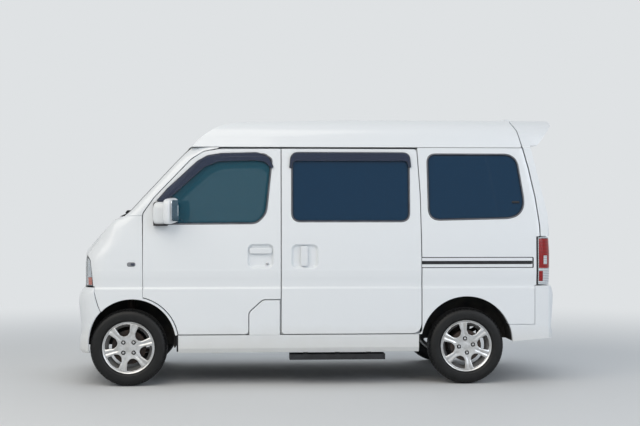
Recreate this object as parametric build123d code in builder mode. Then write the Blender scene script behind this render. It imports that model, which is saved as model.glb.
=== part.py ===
"""A kei van: a small cab-over panel van with a high roof, two front doors, two sliding doors and a tailgate.

Millimetres. +X is forward, +Y is the van's left, +Z is up. The origin lies on the ground, midway between
the foremost and rearmost points, on the centre plane. Points of the front half are given by their distance
behind the foremost point, and points of the tail by their distance ahead of the rearmost point.
"""
from build123d import *
from functools import cache
from math import cos, pi, radians, sin
import os

os.makedirs("parts", exist_ok=True)

# Overall sizes
LENGTH = 3395.0
WIDTH = 1475.0
HEIGHT = 1872.0
WHEELBASE = 2350.0
FRONT_OVERHANG = 385.5
HALF_TRACK = 645.0
FRONT_END = LENGTH / 2
REAR_END = -LENGTH / 2
HALF_WIDTH = WIDTH / 2
FRONT_AXLE_X = FRONT_END - FRONT_OVERHANG
REAR_AXLE_X = FRONT_AXLE_X - WHEELBASE


def behind_nose(*stations):
    """Side-view points from their distance behind the foremost point and their height."""
    return tuple((FRONT_END - back, z) for back, z in stations)


def ahead_of_tail(*stations):
    """Side-view points from their distance ahead of the rearmost point and their height."""
    return tuple((REAR_END + ahead, z) for ahead, z in stations)


# Walls, gaps and clearances
WALL = 45.0
FRAME_WALL = 36.0
REBATE = 30.0
DOOR_GAP = 6.5
SEAM = 3.0
SEAM_DEPTH = 10.0
SEAT_GAP = 0.3
PIN_CLEARANCE = 0.05
GLASS = 5.0
GLASS_INSET = 6.0
LAMP_DEPTH = 2 * WALL

# Heights of the body side, from the ground
SILL_TOP_Z = 358.0
SIDE_BOTTOM_Z = SILL_TOP_Z - 6.0
CREASE_Z = 672.0
CREASE_STEP = 5.0
SHOULDER_Z = 803.0
BELT_Z = 1120.0
BELT_TUCK = 15.0
DRIP_Z = HEIGHT - 216.0
DRIP_STEP = 14.0
DRIP_Y = HALF_WIDTH - 51.5
ROOF_EDGE_Y = HALF_WIDTH - 97.5
ROOF_EDGE_Z = HEIGHT - 24.0
ROOF_SHOULDER_R = 150.0

# Front-view outline of the body's left side, half width against height
SECTION_SIDE = (
    (HALF_WIDTH - 2.0, 100.0),
    (HALF_WIDTH, CREASE_Z),
    (HALF_WIDTH - CREASE_STEP, CREASE_Z + 3 * CREASE_STEP),
    (HALF_WIDTH - 1.0, SHOULDER_Z),
    (HALF_WIDTH - BELT_TUCK, BELT_Z),
    (DRIP_Y, DRIP_Z - 1.0),
    (DRIP_Y - DRIP_STEP, DRIP_Z + 6.0),
    (ROOF_EDGE_Y, ROOF_EDGE_Z),
)

# Side-view outline of the body on the centre plane
NOSE_X = FRONT_END - 45.5
NOSE_TOP_Z = 925.0
NOSE_R = 120.0
BONNET_REAR = (FRONT_END - 235.5, 1142.0)
SCREEN_FOOT = (FRONT_END - 331.5, 1187.0)
BROW = (FRONT_END - 926.5, HEIGHT - 46.0)
BROW_R = 430.0
ROOF_PEAK = (FRONT_END - 2497.5, HEIGHT + 2.0)
TAIL = ahead_of_tail(
    (30.5, 600.0), (21.5, 900.0), (42.5, 1190.0), (165.5, DRIP_Z + 34.0), (217.5, HEIGHT + 28.0),
)
TAIL_X = min(x for x, z in TAIL)

# Plan view: bowed ends and rounded corners
FRONT_BOW_R = 5300.0
REAR_BOW_R = 6000.0
FRONT_CORNER_R = 120.0
REAR_CORNER_R = 80.0
PLAN_MARGIN = 8.0
AXIS_MARGIN = 100.0

# Bumpers in side view on the centre plane
BUMPER_TOP_Z = 690.0
BUMPER_WALL = 30.0
FRONT_BUMPER = behind_nose(
    (51.5, BUMPER_TOP_Z), (13.5, 656.0), (0.0, 590.0), (15.5, 432.0), (33.5, 360.0), (9.5, 338.0),
    (4.5, 251.0), (25.5, 229.0),
)
REAR_BUMPER = ahead_of_tail((21.5, BUMPER_TOP_Z), (0.0, 620.0), (19.5, 400.0), (5.5, 356.0), (11.5, 229.0))
BUMPER_SIDE_X = FRONT_END - 154.5
REAR_BUMPER_X = REAR_END + 180.5
REAR_LIP_Z = 418.0
REAR_BUMPER_FOOT = ahead_of_tail((336.5, 297.0), (0.0, 328.0))
GRILLE_PROUD = 12.0
GRILLE_DEPTH = 8.0
INTAKE = {"z_low": 385.0, "z_high": 485.0, "half_low": 300.0, "half_high": 330.0, "corner": 20.0}

# Wheel arches and the wheelhouses inside them
ARCHES = {
    "front": {"x": FRONT_AXLE_X - 26.0, "z": 300.0, "r": 302.0},
    "rear": {"x": REAR_AXLE_X, "z": 293.0, "r": 321.0},
}
ARCH_LIP = 22.0
FRONT_HOUSE_R = ARCHES["front"]["r"] + 8.0
REAR_HOUSE_R = ARCHES["rear"]["r"] + 2.0
HOUSE_WALL = 12.0
FRONT_HOUSE_Y = 400.0
REAR_HOUSE_Y = 480.0
HOUSE_FOOT_Z = {"front": 260.0, "rear": 300.0}

# Doors in side view
DOOR_TOP_Z = DRIP_Z - 13.0
FRONT_DOOR_X = FRONT_END - 486.5
DOOR_SPLIT_X = FRONT_END - 1439.0
PILLAR_FOOT_Z = 1190.0
PILLAR_LINE = behind_nose(
    (566.5, 1302.0), (819.5, DRIP_Z - 88.0), (903.5, DRIP_Z - 34.0), (1010.5, DRIP_Z - 16.0),
)
NOTCH_X = FRONT_END - 1211.5
NOTCH_STEP_X = FRONT_END - 1310.5
NOTCH_Z = (510.0, 599.0)
SLIDE_REAR_X = FRONT_END - 2416.5
SLIDE_REAR_LINE = ((SLIDE_REAR_X + 30.0, DOOR_TOP_Z), (SLIDE_REAR_X + 8.0, 1321.0), (SLIDE_REAR_X, 882.0))
SLIDE_CORNER_R = 70.0
FRAME_LEAD = 36.0
FRAME_TAIL_X = SLIDE_REAR_X - 41.0
FRAME_PILLAR = (
    (FRONT_DOOR_X - FRAME_LEAD, BELT_Z - 20.0), *behind_nose((837.5, DRIP_Z - 236.0), (917.5, DRIP_Z)),
)

# Door handles: a recess one seam deep, with the grip left standing in it
HANDLE_R = 24.0
HANDLES = {
    "front": {
        "x": (FRONT_END - 1389.5, FRONT_END - 1204.5), "z": (814.0, 984.0),
        "grip_x": (FRONT_END - 1369.5, FRONT_END - 1222.5), "grip_z": (914.0, 954.0),
    },
    "slide": {
        "x": (FRONT_END - 1698.5, FRONT_END - 1507.5), "z": (810.0, 981.0),
        "grip_x": (FRONT_END - 1623.5, FRONT_END - 1575.5), "grip_z": (829.0, 967.0),
    },
}

# Front door hinges: an eye on the body and a pin in the door
HINGE_DEPTH = 9.0
HINGE_X = FRONT_DOOR_X - HINGE_DEPTH
HINGE_Y = HALF_WIDTH - HINGE_DEPTH
HINGE_Z = (645.0, 800.0)
HINGE_HALF_H = 15.0
HINGE_ROOM = 4.0
EYE_R = 4.5
PIN_R = 2.5
PIN_ROOM = 0.5
PIN_ROOT = 5.0
LEAF_W = 6.0
LEAF_Y = HALF_WIDTH - WALL + 4.5

# Windows in side view
WINDOW_TOP_Z = DRIP_Z - 48.0
FRONT_WINDOW = behind_nose(
    (635.5, 1120.0), (592.5, 1205.0), (597.5, 1245.0), (897.5, DRIP_Z - 91.0), (992.5, DRIP_Z - 56.0),
    (1325.5, DRIP_Z - 50.0), (1375.5, DRIP_Z - 86.0), (1335.5, 1190.0), (1267.5, 1124.0),
)
FRONT_WINDOW_R = 12.0
SLIDE_WINDOW = {"front": DOOR_SPLIT_X - 74.5, "rear": SLIDE_REAR_X + 83.0, "z_low": 1137.0, "corner": 60.0}
QUARTER_FRONT_X = SLIDE_REAR_X - 46.0
QUARTER_WINDOW = (
    (QUARTER_FRONT_X, 1148.0),
    *ahead_of_tail((347.5, 1160.0), (257.5, 1215.0), (247.5, 1290.0), (297.5, 1560.0), (357.5, WINDOW_TOP_Z)),
    (QUARTER_FRONT_X, WINDOW_TOP_Z),
)
QUARTER_WINDOW_R = 22.0
SCREEN = {"z_low": 1190.0, "z_high": DRIP_Z - 8.0, "half_low": 655.0, "half_high": 614.0, "corner": 60.0}
SCREEN_REAR_X = FRONT_END - 1097.5

# Nose: lamps, front panel, bonnet lid and cowl
LAMP_TOP_Z = 908.0
LAMP_INNER_Y = 430.0
LAMP_FRONT = behind_nose((144.5, BUMPER_TOP_Z), (136.5, 780.0), (124.5, 872.0), (89.5, LAMP_TOP_Z))
BONNET_HALF_W = 600.0
BONNET_DEPTH = 57.0
LID_TOP_Z = BONNET_REAR[1] - 2.0
COWL_FOOT_Z = LID_TOP_Z + DOOR_GAP
COWL_HALF_W = 640.0
NOSE_CUT_X = FRONT_END - 397.5
BONNET_AXIS = (BONNET_REAR[0] - 7.0, (LID_TOP_Z + COWL_FOOT_Z) / 2)
KNUCKLE_R = 2.9
BONNET_PIN_R = 1.8
KNUCKLE_Y = (60.0, 120.0)
KNUCKLE_LEAF = 20.0

# Tail: tailgate, lamps and spoiler
TAIL_SPLIT = ahead_of_tail(
    (321.5, HEIGHT - 37.0), (285.5, HEIGHT - 99.0), (256.5, DRIP_Z + 16.0), (211.5, DRIP_Z - 150.0),
    (168.5, 1311.0), (138.5, 1109.0), (135.5, 1033.0),
)
TAIL_LAMP_X = REAR_END + 167.5
TAIL_LAMP_Z = (693.0, 1028.0)
TAIL_LAMP_Y = 575.0
TAIL_WRAP_Z = TAIL_LAMP_Z[1] + DOOR_GAP
TAIL_FRONT_X = REAR_END + 397.5
TAILGATE_GLASS = {
    "z_low": 1150.0, "z_high": DRIP_Z - 56.0, "half_low": 575.0, "half_high": 545.0, "corner": 40.0,
}
SPOILER_TAIL = ahead_of_tail(
    (150.5, DRIP_Z + 16.0), (131.5, DRIP_Z + 38.0), (44.5, HEIGHT - 59.0), (39.5, HEIGHT - 36.0),
    (65.5, HEIGHT - 10.0), (197.5, HEIGHT + 3.0),
)
SPOILER_RAMP = ahead_of_tail((282.5, HEIGHT + 4.0), (321.5, HEIGHT - 24.0))
TAIL_AXIS = (TAIL_SPLIT[0][0] + 4.0, HEIGHT - 7.0)
TAIL_HINGE_Y = 430.0
TAIL_EYE_R = 6.0
TAIL_PIN_R = 3.0
TAIL_EYE_W = 24.0
TAIL_EAR_W = 14.0
EYE_FOOT = {"run": 27.0, "root": 60.0, "drop": 15.0, "rise": 1.0}
EAR_FOOT = {"run": 30.0, "drop": 16.0, "rise": 2.0}

# Sliding door rail in the quarter panel
RAIL_BAND_Z = (818.0, 883.0)
RAIL_SLOT_Z = (838.0, 862.0)
RAIL_DEPTH = 22.0
RAIL_REAR_X = REAR_END + 197.5
RAIL_COVER = 4.0
ROLLER_ARM = 9.0
ROLLER_REACH = 45.0
ROLLER_W = 60.0
ROLLER_T = 11.0

# Sills and side step
SILL_BOTTOM_Z = 231.0
SILL_INNER_Y = HALF_WIDTH - 97.5
SILL_END_GAP = 16.0
STEP_X = (FRONT_END - 2162.5, FRONT_END - 1497.5)
STEP_Y = (HALF_WIDTH - 137.5, HALF_WIDTH - 7.5)
STEP_Z = (178.0, 215.0)
STEP_BRACKETS = 3
STEP_BRACKET_HALF = 15.0
STEP_BRACKET_Y = (SILL_INNER_Y + 5.0, SILL_INNER_Y + 60.0)

# Visors, wipers and mirrors
VISOR_T = 12.0
VISOR_Z = (DRIP_Z - 100.0, DRIP_Z - 38.0)
DOOR_VISOR = behind_nose(
    (579.5, 1279.0), (651.5, 1363.0), (861.5, DRIP_Z - 100.0), (925.5, DRIP_Z - 64.0),
    (1020.5, DRIP_Z - 48.0), (1274.5, DRIP_Z - 40.0), (1338.5, DRIP_Z - 56.0), (1386.5, DRIP_Z - 143.0),
    (1367.5, DRIP_Z - 146.0), (1332.5, DRIP_Z - 96.0), (1267.5, DRIP_Z - 88.0),
    (1007.5, DRIP_Z - 100.0), (617.5, 1250.0),
)
SIDE_VISOR_LAP = {"slide": (7.0, 15.0), "quarter": (8.0, 6.0)}
MIRROR = {"x": FRONT_END - 637.5, "y": HALF_WIDTH + 84.5, "w": 136.0, "depth": 110.0, "corner": 30.0}
MIRROR_Z = (1106.0, 1296.0)
MIRROR_ARM_X = (FRONT_END - 645.5, FRONT_END - 545.5)
MIRROR_ARM_Z = (1135.0, 1225.0)
WIPER_T = 18.0
WIPER_POST_Z = 1170.0
WIPER_POST_W = 24.0
WIPER_REAR_X = FRONT_END - 697.5
WIPER_INNER_Z = (1192.0, 1212.0)
WIPER_OUTER_Z = (1204.0, 1216.0)
FRONT_WIPERS = ((-560.0, -60.0), (-20.0, 480.0))
REAR_WIPER_T = 16.0
REAR_WIPER = ((-20.0, 1128.0), (-20.0, 1112.0), (400.0, 1150.0), (400.0, 1166.0))

# Floor
CARGO_FLOOR_Z = 640.0
CAB_FLOOR_Z = 450.0
SEAT_BOX_Z = 690.0
FLOOR_T = 30.0
FIREWALL_X = FRONT_END - 182.5
FIREWALL_TOP_Z = 895.0
SEAT_BOX_X = (FRONT_END - 1407.5, FRONT_END - 827.5)
FLOOR_REAR_X = REAR_END + 137.5
FLOOR_HALF_W = HALF_WIDTH - WALL - FRAME_WALL - 4.5
FLOOR_WIDE_X = SLIDE_REAR_X - 46.0
REAR_RAIL = {"x": (REAR_END + 157.5, FRONT_END - 1447.5), "y": (400.0, 460.0), "z": (550.0, 612.0)}
FRONT_RAIL = {"x": (FRONT_END - 997.5, FRONT_END - 157.5), "y": (300.0, 360.0), "z": (360.0, 422.0)}
AXLE_ROOM = 110.0
TOW_R = 14.0
TOW_PLATE = 10.0
TOW_HALF_W = 25.0
FRONT_TOW = {
    "x": FRONT_END - 247.5, "y": sum(FRONT_RAIL["y"]) / 2, "z": 300.0, "top": FRONT_RAIL["z"][0],
    "root": FRONT_END - 202.5,
}
REAR_TOW = {
    "x": REAR_END + 122.5, "y": sum(REAR_RAIL["y"]) / 2, "z": 480.0, "top": REAR_RAIL["z"][0],
    "root": REAR_RAIL["x"][0] + 10.0,
}
LINER = {"x": (REAR_END + 167.5, REAR_END + 1047.5), "half_w": 450.0, "t": 2.0}
JACK_PAD = {
    "x": (FRONT_END - 1037.5, FRONT_END - 957.5), "y": (HALF_WIDTH - 67.5, HALF_WIDTH - 27.5), "t": 6.0,
}

# Tyres and wheels
WHEEL_FACETS = 48
TYRE_R = 266.0
TYRE_W = 157.0
TREAD_W = 110.0
BEAD_R = 165.0
FLANGE_R = 179.0
RIM_W = 128.0
RIM_LIP = 6.0
RIM_T = 8.0
DROP_R = 150.0
DROP_HALF_W = 24.0
HUB_FACE = 43.0
HUB_T = 13.0
HUB_LAP = 6.0
SPOKES = 6
SPOKE_WINDOW = {"r": 112.0, "root": 64.0, "angle": 44.0, "height": 100.0}

# Running gear
AXLE_TUBE_R = 35.0
DIFF = {"r": 105.0, "half_w": 80.0}
DRUM_R = 108.0
DRUM_Y = 560.0
SPRING_Y = (405.0, 455.0)
SPRING_HALF = 459.0
SPRING_EYE_Z = 540.0
SPRING_EYE = 20.0
SPRING_SEAT = (14.0, 11.0)
SHAFT = {"r": 28.0, "rise": 74.0, "gap": 2.0}
HALF_MEMBER_Y = 390.0
MEMBER_Z = (280.0, FRONT_RAIL["z"][0] - SEAT_GAP)
MEMBER_HALF_X = 60.0
ARM_HALF_X = 30.0
ARM_TOP_Z = 160.0
ARM_DEPTH = 40.0
ARM_PAD = 15.0
KINGPIN_LOW = (600.0, 175.0)
KINGPIN_TOP = (490.0, 600.0)
BALL_R = 12.0
STRUT_R = 24.0
STRUT_LENGTH = 300.0
STRUT_MOUNT_R = 34.0
STRUT_MOUNT_L = 14.0
STUB_R = 40.0
DISC_R = 118.0
DISC_Y = (640.0, 660.0)
UPRIGHT = {"half_x": 35.0, "y": (KINGPIN_LOW[0] - 30.0, KINGPIN_LOW[0] + 12.0), "over": 24.0}
STEER_ARM = {"reach": 140.0, "y": (KINGPIN_LOW[0] - 25.0, KINGPIN_LOW[0] - 5.0), "t": 20.0, "drop": 1.0}

# Engine, tank and exhaust
ENGINE = {"x": (SEAT_BOX_X[0] + 40.0, SEAT_BOX_X[1] - 70.0), "half_w": 230.0, "z": 335.0, "corner": 30.0}
TANK = {"x": (FRONT_END - 2027.5, FRONT_END - 1517.5), "y": (60.0, 380.0), "z": 345.0, "corner": 40.0}
SILENCER = {"x": REAR_END + 197.5, "length": 270.0, "r": 75.0, "y": -330.0, "z": 400.0}
PIPE = {"x": REAR_END + 77.5, "length": 1950.0, "r": 22.0}
HANGERS_X = (REAR_END + 317.5, FRONT_END - 1897.5)
HANGER_HALF = 6.0

# Cab
DASH = behind_nose(
    (182.8, 760.0), (182.8, 880.0), (312.5, 1085.0), (407.5, 1130.0), (547.5, 1130.0), (612.5, 1060.0),
    (577.5, 900.0), (497.5, 780.0), (397.5, 760.0),
)
DASH_HALF_W = 620.0
DASH_CORNER = 12.0
WHEEL_HUB = (FRONT_END - 797.5, -340.0, 1040.0)
COLUMN_TILT = 50.0
WHEEL_R = 185.0
WHEEL_RIM = 27.0
WHEEL_T = 26.0
WHEEL_BAR = 40.0
WHEEL_BOSS_R = 55.0
COLUMN_R = 22.0
COLUMN_LENGTH = 900.0
COLUMN_CLAMP = {"x": (WHEEL_HUB[0] + 140.0, WHEEL_HUB[0] + 215.0), "half_w": 30.0, "z": (860.0, 900.0)}
SEAT_CORNER = 28.0
SEAT_TOP_Z = 822.0
SEAT_Y = (90.0, 580.0)
SEAT_X = (FRONT_END - 1357.5, FRONT_END - 847.5)
SEAT_BACK = behind_nose((1277.5, 800.0), (1397.5, 1310.0), (1482.5, 1310.0), (1377.5, 800.0))
HEADREST = {"x": (SEAT_X[0] - 120.0, SEAT_X[0] - 40.0), "inset": 120.0, "z": (1300.0, 1480.0)}
REAR_SEAT_X = (FRONT_END - 2197.5, FRONT_END - 1757.5)
REAR_SEAT_TOP_Z = 880.0
REAR_SEAT_HALF_W = 600.0
REAR_BACK = behind_nose((2137.5, 860.0), (2237.5, 1300.0), (2307.5, 1300.0), (2217.5, 860.0))

# Limits of the cutting forms
CUT_INNER_Y = HALF_WIDTH - 177.5
CUT_OUTER_Y = HALF_WIDTH + 62.5
CUT_TOP_Z = HEIGHT + 50.0


def side_width(z):
    """Half width of the body at a height."""
    for (y_low, z_low), (y_high, z_high) in zip(SECTION_SIDE, SECTION_SIDE[1:]):
        if z_low <= z <= z_high:
            return y_low + (y_high - y_low) * (z - z_low) / (z_high - z_low)
    return HALF_WIDTH


FLOOR_SIDE_Y = side_width(SIDE_BOTTOM_Z) - WALL - SEAT_GAP


def side_prism(outline, y_low, y_high, corner=0.0, grow=0.0):
    """A prism across the van, its outline drawn in side view as X against Z."""
    with BuildPart() as prism:
        with BuildSketch(Plane.XZ.offset(-y_high)):
            Polygon(*outline, align=None)
            if corner:
                fillet(vertices(), corner)
            if grow:
                offset(amount=grow, kind=Kind.INTERSECTION)
        extrude(amount=y_high - y_low)
    return prism.part


def front_prism(outline, x_low, x_high, corner=0.0, grow=0.0):
    """A prism along the van, its outline drawn in front view as Y against Z."""
    with BuildPart() as prism:
        with BuildSketch(Plane.YZ.offset(x_low)):
            Polygon(*outline, align=None)
            if corner:
                fillet(vertices(), corner)
            if grow:
                offset(amount=grow, kind=Kind.INTERSECTION)
        extrude(amount=x_high - x_low)
    return prism.part


def window_prism(window, x_low, x_high, grow=0.0):
    """A prism along the van for an opening that is symmetrical in front view."""
    outline = (
        (window["half_low"], window["z_low"]), (-window["half_low"], window["z_low"]),
        (-window["half_high"], window["z_high"]), (window["half_high"], window["z_high"]),
    )
    return front_prism(outline, x_low, x_high, window["corner"], grow)


def sketch_prism(outline, y_low, y_high):
    """A prism across the van from a finished side-view sketch."""
    with BuildPart() as prism:
        with BuildSketch(Plane.XZ.offset(-y_high)):
            add(outline)
        extrude(amount=y_high - y_low)
    return prism.part


def block(x_low, x_high, y_low, y_high, z_low, z_high):
    """A plain block given by its limits."""
    with BuildPart() as cube:
        with BuildSketch(Plane.XY.offset(z_low)):
            with Locations(((x_low + x_high) / 2, (y_low + y_high) / 2)):
                Rectangle(x_high - x_low, y_high - y_low)
        extrude(amount=z_high - z_low)
    return cube.part


def rod(x, y_low, y_high, z, radius):
    """A round bar across the van."""
    with BuildPart() as bar:
        with BuildSketch(Plane.XZ.offset(-y_high)):
            with Locations((x, z)):
                Circle(radius)
        extrude(amount=y_high - y_low)
    return bar.part


def post(x, y, z_low, z_high, radius):
    """An upright round bar."""
    with BuildPart() as bar:
        with BuildSketch(Plane.XY.offset(z_low)):
            with Locations((x, y)):
                Circle(radius)
        extrude(amount=z_high - z_low)
    return bar.part


def cut_by(shape, *keep, remove=()):
    """What is left of a shape inside every keep form and outside every remove form."""
    with BuildPart() as piece:
        add(shape)
        for form in keep:
            add(form, mode=Mode.INTERSECT)
        for form in remove:
            add(form, mode=Mode.SUBTRACT)
    return piece.part


def save(builder, name):
    """Label a finished piece and write it."""
    builder.part.label = name
    export_step(builder.part, f"parts/{name}.step")


def save_twin(source, name):
    """Write the same piece on the van's right."""
    with BuildPart() as twin:
        mirror(source.part, about=Plane.XZ)
    save(twin, name)


def body_section(inset):
    """Front-view outline of the body: side creases, tumblehome, drip step and rounded roof edges."""
    right_side = SECTION_SIDE
    left_side = tuple((-y, z) for y, z in reversed(right_side))
    with BuildSketch() as section:
        with BuildLine():
            Polyline(*right_side)
            ThreePointArc(right_side[-1], (0.0, HEIGHT), left_side[0])
            Polyline(*left_side)
            Line(left_side[-1], right_side[0])
        make_face()
        fillet(vertices().sort_by(Axis.Y)[-2:], ROOF_SHOULDER_R)
        if inset:
            offset(amount=-inset)
    return section.sketch


def plan_outline(front_x, rear_x, inset):
    """Plan outline with bowed ends and rounded corners."""
    with BuildSketch() as plan:
        with Locations(((front_x + rear_x) / 2, 0.0)):
            Rectangle(front_x - rear_x, WIDTH + 2 * PLAN_MARGIN)
        with Locations((front_x - FRONT_BOW_R, 0.0)):
            Circle(FRONT_BOW_R, mode=Mode.INTERSECT)
        with Locations((rear_x + REAR_BOW_R, 0.0)):
            Circle(REAR_BOW_R, mode=Mode.INTERSECT)
        fillet(vertices().group_by(Axis.X)[-1], FRONT_CORNER_R)
        fillet(vertices().group_by(Axis.X)[0], REAR_CORNER_R)
        if inset:
            offset(amount=-inset)
    return plan.sketch


@cache
def body_form(inset):
    """The closed form of cab and load space, drawn in by the inset on every side."""
    with BuildPart() as form:
        with BuildSketch(Plane.YZ.offset(REAR_END)):
            add(body_section(inset))
        extrude(amount=LENGTH)
        with BuildSketch(Plane.XY):
            add(plan_outline(NOSE_X, TAIL_X, inset))
        extrude(amount=CUT_TOP_Z, mode=Mode.INTERSECT)
        front_axis_x = NOSE_X - FRONT_BOW_R
        root_x = front_axis_x + AXIS_MARGIN
        with BuildSketch(Plane.XZ):
            Polygon(
                (root_x, 0.0), (NOSE_X, 0.0), (NOSE_X, NOSE_TOP_Z), BONNET_REAR, SCREEN_FOOT, BROW, ROOF_PEAK,
                (root_x, ROOF_PEAK[1]),
                align=None,
            )
            fillet(vertices().filter_by(lambda v: abs(v.X - NOSE_X) < 1 and v.Y > 1), NOSE_R)
            fillet(vertices().filter_by(lambda v: abs(v.X - BROW[0]) < 1), BROW_R)
            if inset:
                offset(amount=-inset)
        revolve(axis=Axis((front_axis_x, 0, 0), (0, 0, 1)), mode=Mode.INTERSECT)
        rear_axis_x = TAIL_X + REAR_BOW_R
        root_x = rear_axis_x - AXIS_MARGIN
        with BuildSketch(Plane.XZ):
            Polygon((root_x, 0.0), (TAIL[0][0], 0.0), *TAIL, (root_x, TAIL[-1][1]), align=None)
            if inset:
                offset(amount=-inset, kind=Kind.INTERSECTION)
        revolve(axis=Axis((rear_axis_x, 0, 0), (0, 0, 1)), mode=Mode.INTERSECT)
    return form.part


@cache
def bumper_form(inset):
    """The closed form of both bumpers, drawn in by the inset on every side."""
    with BuildPart() as form:
        with BuildSketch(Plane.XY):
            add(plan_outline(FRONT_END, REAR_END, inset))
        extrude(amount=HEIGHT)
        with BuildSketch(Plane.YZ.offset(-LENGTH)):
            with Locations((0.0, HEIGHT / 2)):
                Rectangle(WIDTH - 2 * inset, HEIGHT)
        extrude(amount=2 * LENGTH, mode=Mode.INTERSECT)
        for outline, bow_r, direction in ((FRONT_BUMPER, FRONT_BOW_R, 1), (REAR_BUMPER, REAR_BOW_R, -1)):
            axis_x = direction * (FRONT_END - bow_r)
            root_x = axis_x + direction * AXIS_MARGIN
            with BuildSketch(Plane.XZ):
                Polygon((root_x, outline[0][1]), *outline, (root_x, outline[-1][1]), align=None)
                if inset:
                    offset(amount=-inset, kind=Kind.INTERSECTION)
            revolve(axis=Axis((axis_x, 0, 0), (0, 0, 1)), mode=Mode.INTERSECT)
    return form.part


@cache
def layer(outer_inset, inner_inset):
    """A shell that follows the body, from one inset to a deeper one."""
    return cut_by(body_form(outer_inset), remove=(body_form(inner_inset),))


@cache
def bumper_layer(outer_inset, inner_inset):
    """A shell that follows the bumpers, from one inset to a deeper one."""
    return cut_by(bumper_form(outer_inset), remove=(bumper_form(inner_inset),))


def flanged(shell, depth, zone_at):
    """A fixed panel: its face stops at the seam, and the flange behind reaches its neighbours' edges."""
    with BuildPart() as panel:
        add(cut_by(shell(0.0, SEAM_DEPTH), zone_at(SEAM)))
        add(cut_by(shell(SEAM_DEPTH, depth), zone_at(SEAT_GAP)))
    return panel.part


def front_door_sketch(grow):
    """Front door outline in side view: it follows the screen pillar, the wheel arch and the rear notch."""
    arch = ARCHES["front"]
    rear_x = DOOR_SPLIT_X + DOOR_GAP / 2
    with BuildSketch() as outline:
        Polygon(
            (FRONT_DOOR_X, SILL_TOP_Z), (FRONT_DOOR_X, PILLAR_FOOT_Z), *PILLAR_LINE, (rear_x, DOOR_TOP_Z),
            (rear_x, NOTCH_Z[1]), (NOTCH_STEP_X, NOTCH_Z[1]), (NOTCH_X, NOTCH_Z[0]), (NOTCH_X, SILL_TOP_Z),
            align=None,
        )
        with Locations((arch["x"], arch["z"])):
            Circle(arch["r"] + ARCH_LIP, mode=Mode.SUBTRACT)
        if grow:
            offset(amount=grow, kind=Kind.INTERSECTION)
    return outline.sketch


def slide_door_sketch(grow):
    """Sliding door outline in side view."""
    front_x = DOOR_SPLIT_X - DOOR_GAP / 2
    with BuildSketch() as outline:
        Polygon(
            (front_x, SILL_TOP_Z), (front_x, DOOR_TOP_Z), *SLIDE_REAR_LINE, (SLIDE_REAR_X, SILL_TOP_Z),
            align=None,
        )
        fillet(vertices().group_by(Axis.Y)[0].sort_by(Axis.X)[0], SLIDE_CORNER_R)
        if grow:
            offset(amount=grow, kind=Kind.INTERSECTION)
    return outline.sketch


def arch_rod(place, y_low, y_high, grow=0.0):
    """A round bar through a wheel arch."""
    arch = ARCHES[place]
    return rod(arch["x"], y_low, y_high, arch["z"], arch["r"] + grow)


SKIN = layer(0.0, WALL)
GLASS_LAYER = layer(GLASS_INSET, GLASS_INSET + GLASS)

WAY_INNER_Y = CUT_INNER_Y - 60.0
front_door_hole = sketch_prism(front_door_sketch(DOOR_GAP), CUT_INNER_Y, CUT_OUTER_Y)
slide_door_hole = sketch_prism(slide_door_sketch(DOOR_GAP), CUT_INNER_Y, CUT_OUTER_Y)
front_door_way = sketch_prism(front_door_sketch(-REBATE), WAY_INNER_Y, CUT_OUTER_Y)
slide_door_way = sketch_prism(slide_door_sketch(-REBATE), WAY_INNER_Y, CUT_OUTER_Y)
screen_hole = window_prism(SCREEN, SCREEN_REAR_X, LENGTH)
quarter_hole = side_prism(QUARTER_WINDOW, CUT_INNER_Y, CUT_OUTER_Y, QUARTER_WINDOW_R)
front_window_hole = side_prism(FRONT_WINDOW, CUT_INNER_Y, CUT_OUTER_Y, FRONT_WINDOW_R)
slide_window_outline = (
    (SLIDE_WINDOW["front"], SLIDE_WINDOW["z_low"]), (SLIDE_WINDOW["front"], WINDOW_TOP_Z),
    (SLIDE_WINDOW["rear"], WINDOW_TOP_Z), (SLIDE_WINDOW["rear"], SLIDE_WINDOW["z_low"]),
)
slide_hole = side_prism(slide_window_outline, CUT_INNER_Y, CUT_OUTER_Y, SLIDE_WINDOW["corner"])

# Frame behind the door edges, which the open doors leave in view
frame_outline = (
    (FRONT_DOOR_X - FRAME_LEAD, SIDE_BOTTOM_Z), *FRAME_PILLAR, (FRAME_TAIL_X, DRIP_Z),
    (FRAME_TAIL_X, SIDE_BOTTOM_Z),
)
rebate_layer = layer(0.0, WALL + DOOR_GAP)
door_frame = cut_by(
    layer(WALL, WALL + FRAME_WALL),
    side_prism(frame_outline, CUT_INNER_Y, CUT_OUTER_Y),
    remove=(
        front_door_way, slide_door_way, cut_by(rebate_layer, front_door_hole),
        cut_by(rebate_layer, slide_door_hole),
    ),
)

# Body sides
side_outline = (
    (BUMPER_SIDE_X, SIDE_BOTTOM_Z), (BUMPER_SIDE_X, BUMPER_TOP_Z), *LAMP_FRONT, (FRONT_END, LAMP_TOP_Z),
    (FRONT_END, DRIP_Z), (TAIL_SPLIT[2][0] + DOOR_GAP, DRIP_Z),
    *((x + DOOR_GAP, z) for x, z in TAIL_SPLIT if z < DRIP_Z),
    (TAIL_LAMP_X, TAIL_LAMP_Z[1] + SEAM), (TAIL_LAMP_X, BUMPER_TOP_Z), (REAR_BUMPER_X, BUMPER_TOP_Z),
    (REAR_BUMPER_X, REAR_LIP_Z), (ARCHES["rear"]["x"], REAR_LIP_Z), (ARCHES["rear"]["x"], SIDE_BOTTOM_Z),
)
nose_hole = block(
    NOSE_CUT_X, LENGTH, -BONNET_HALF_W - DOOR_GAP, BONNET_HALF_W + DOOR_GAP, 0.0, COWL_FOOT_Z - SEAT_GAP,
)
cowl_hole = block(NOSE_CUT_X, LENGTH, -COWL_HALF_W, COWL_HALF_W, LID_TOP_Z, SCREEN["z_low"])
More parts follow.
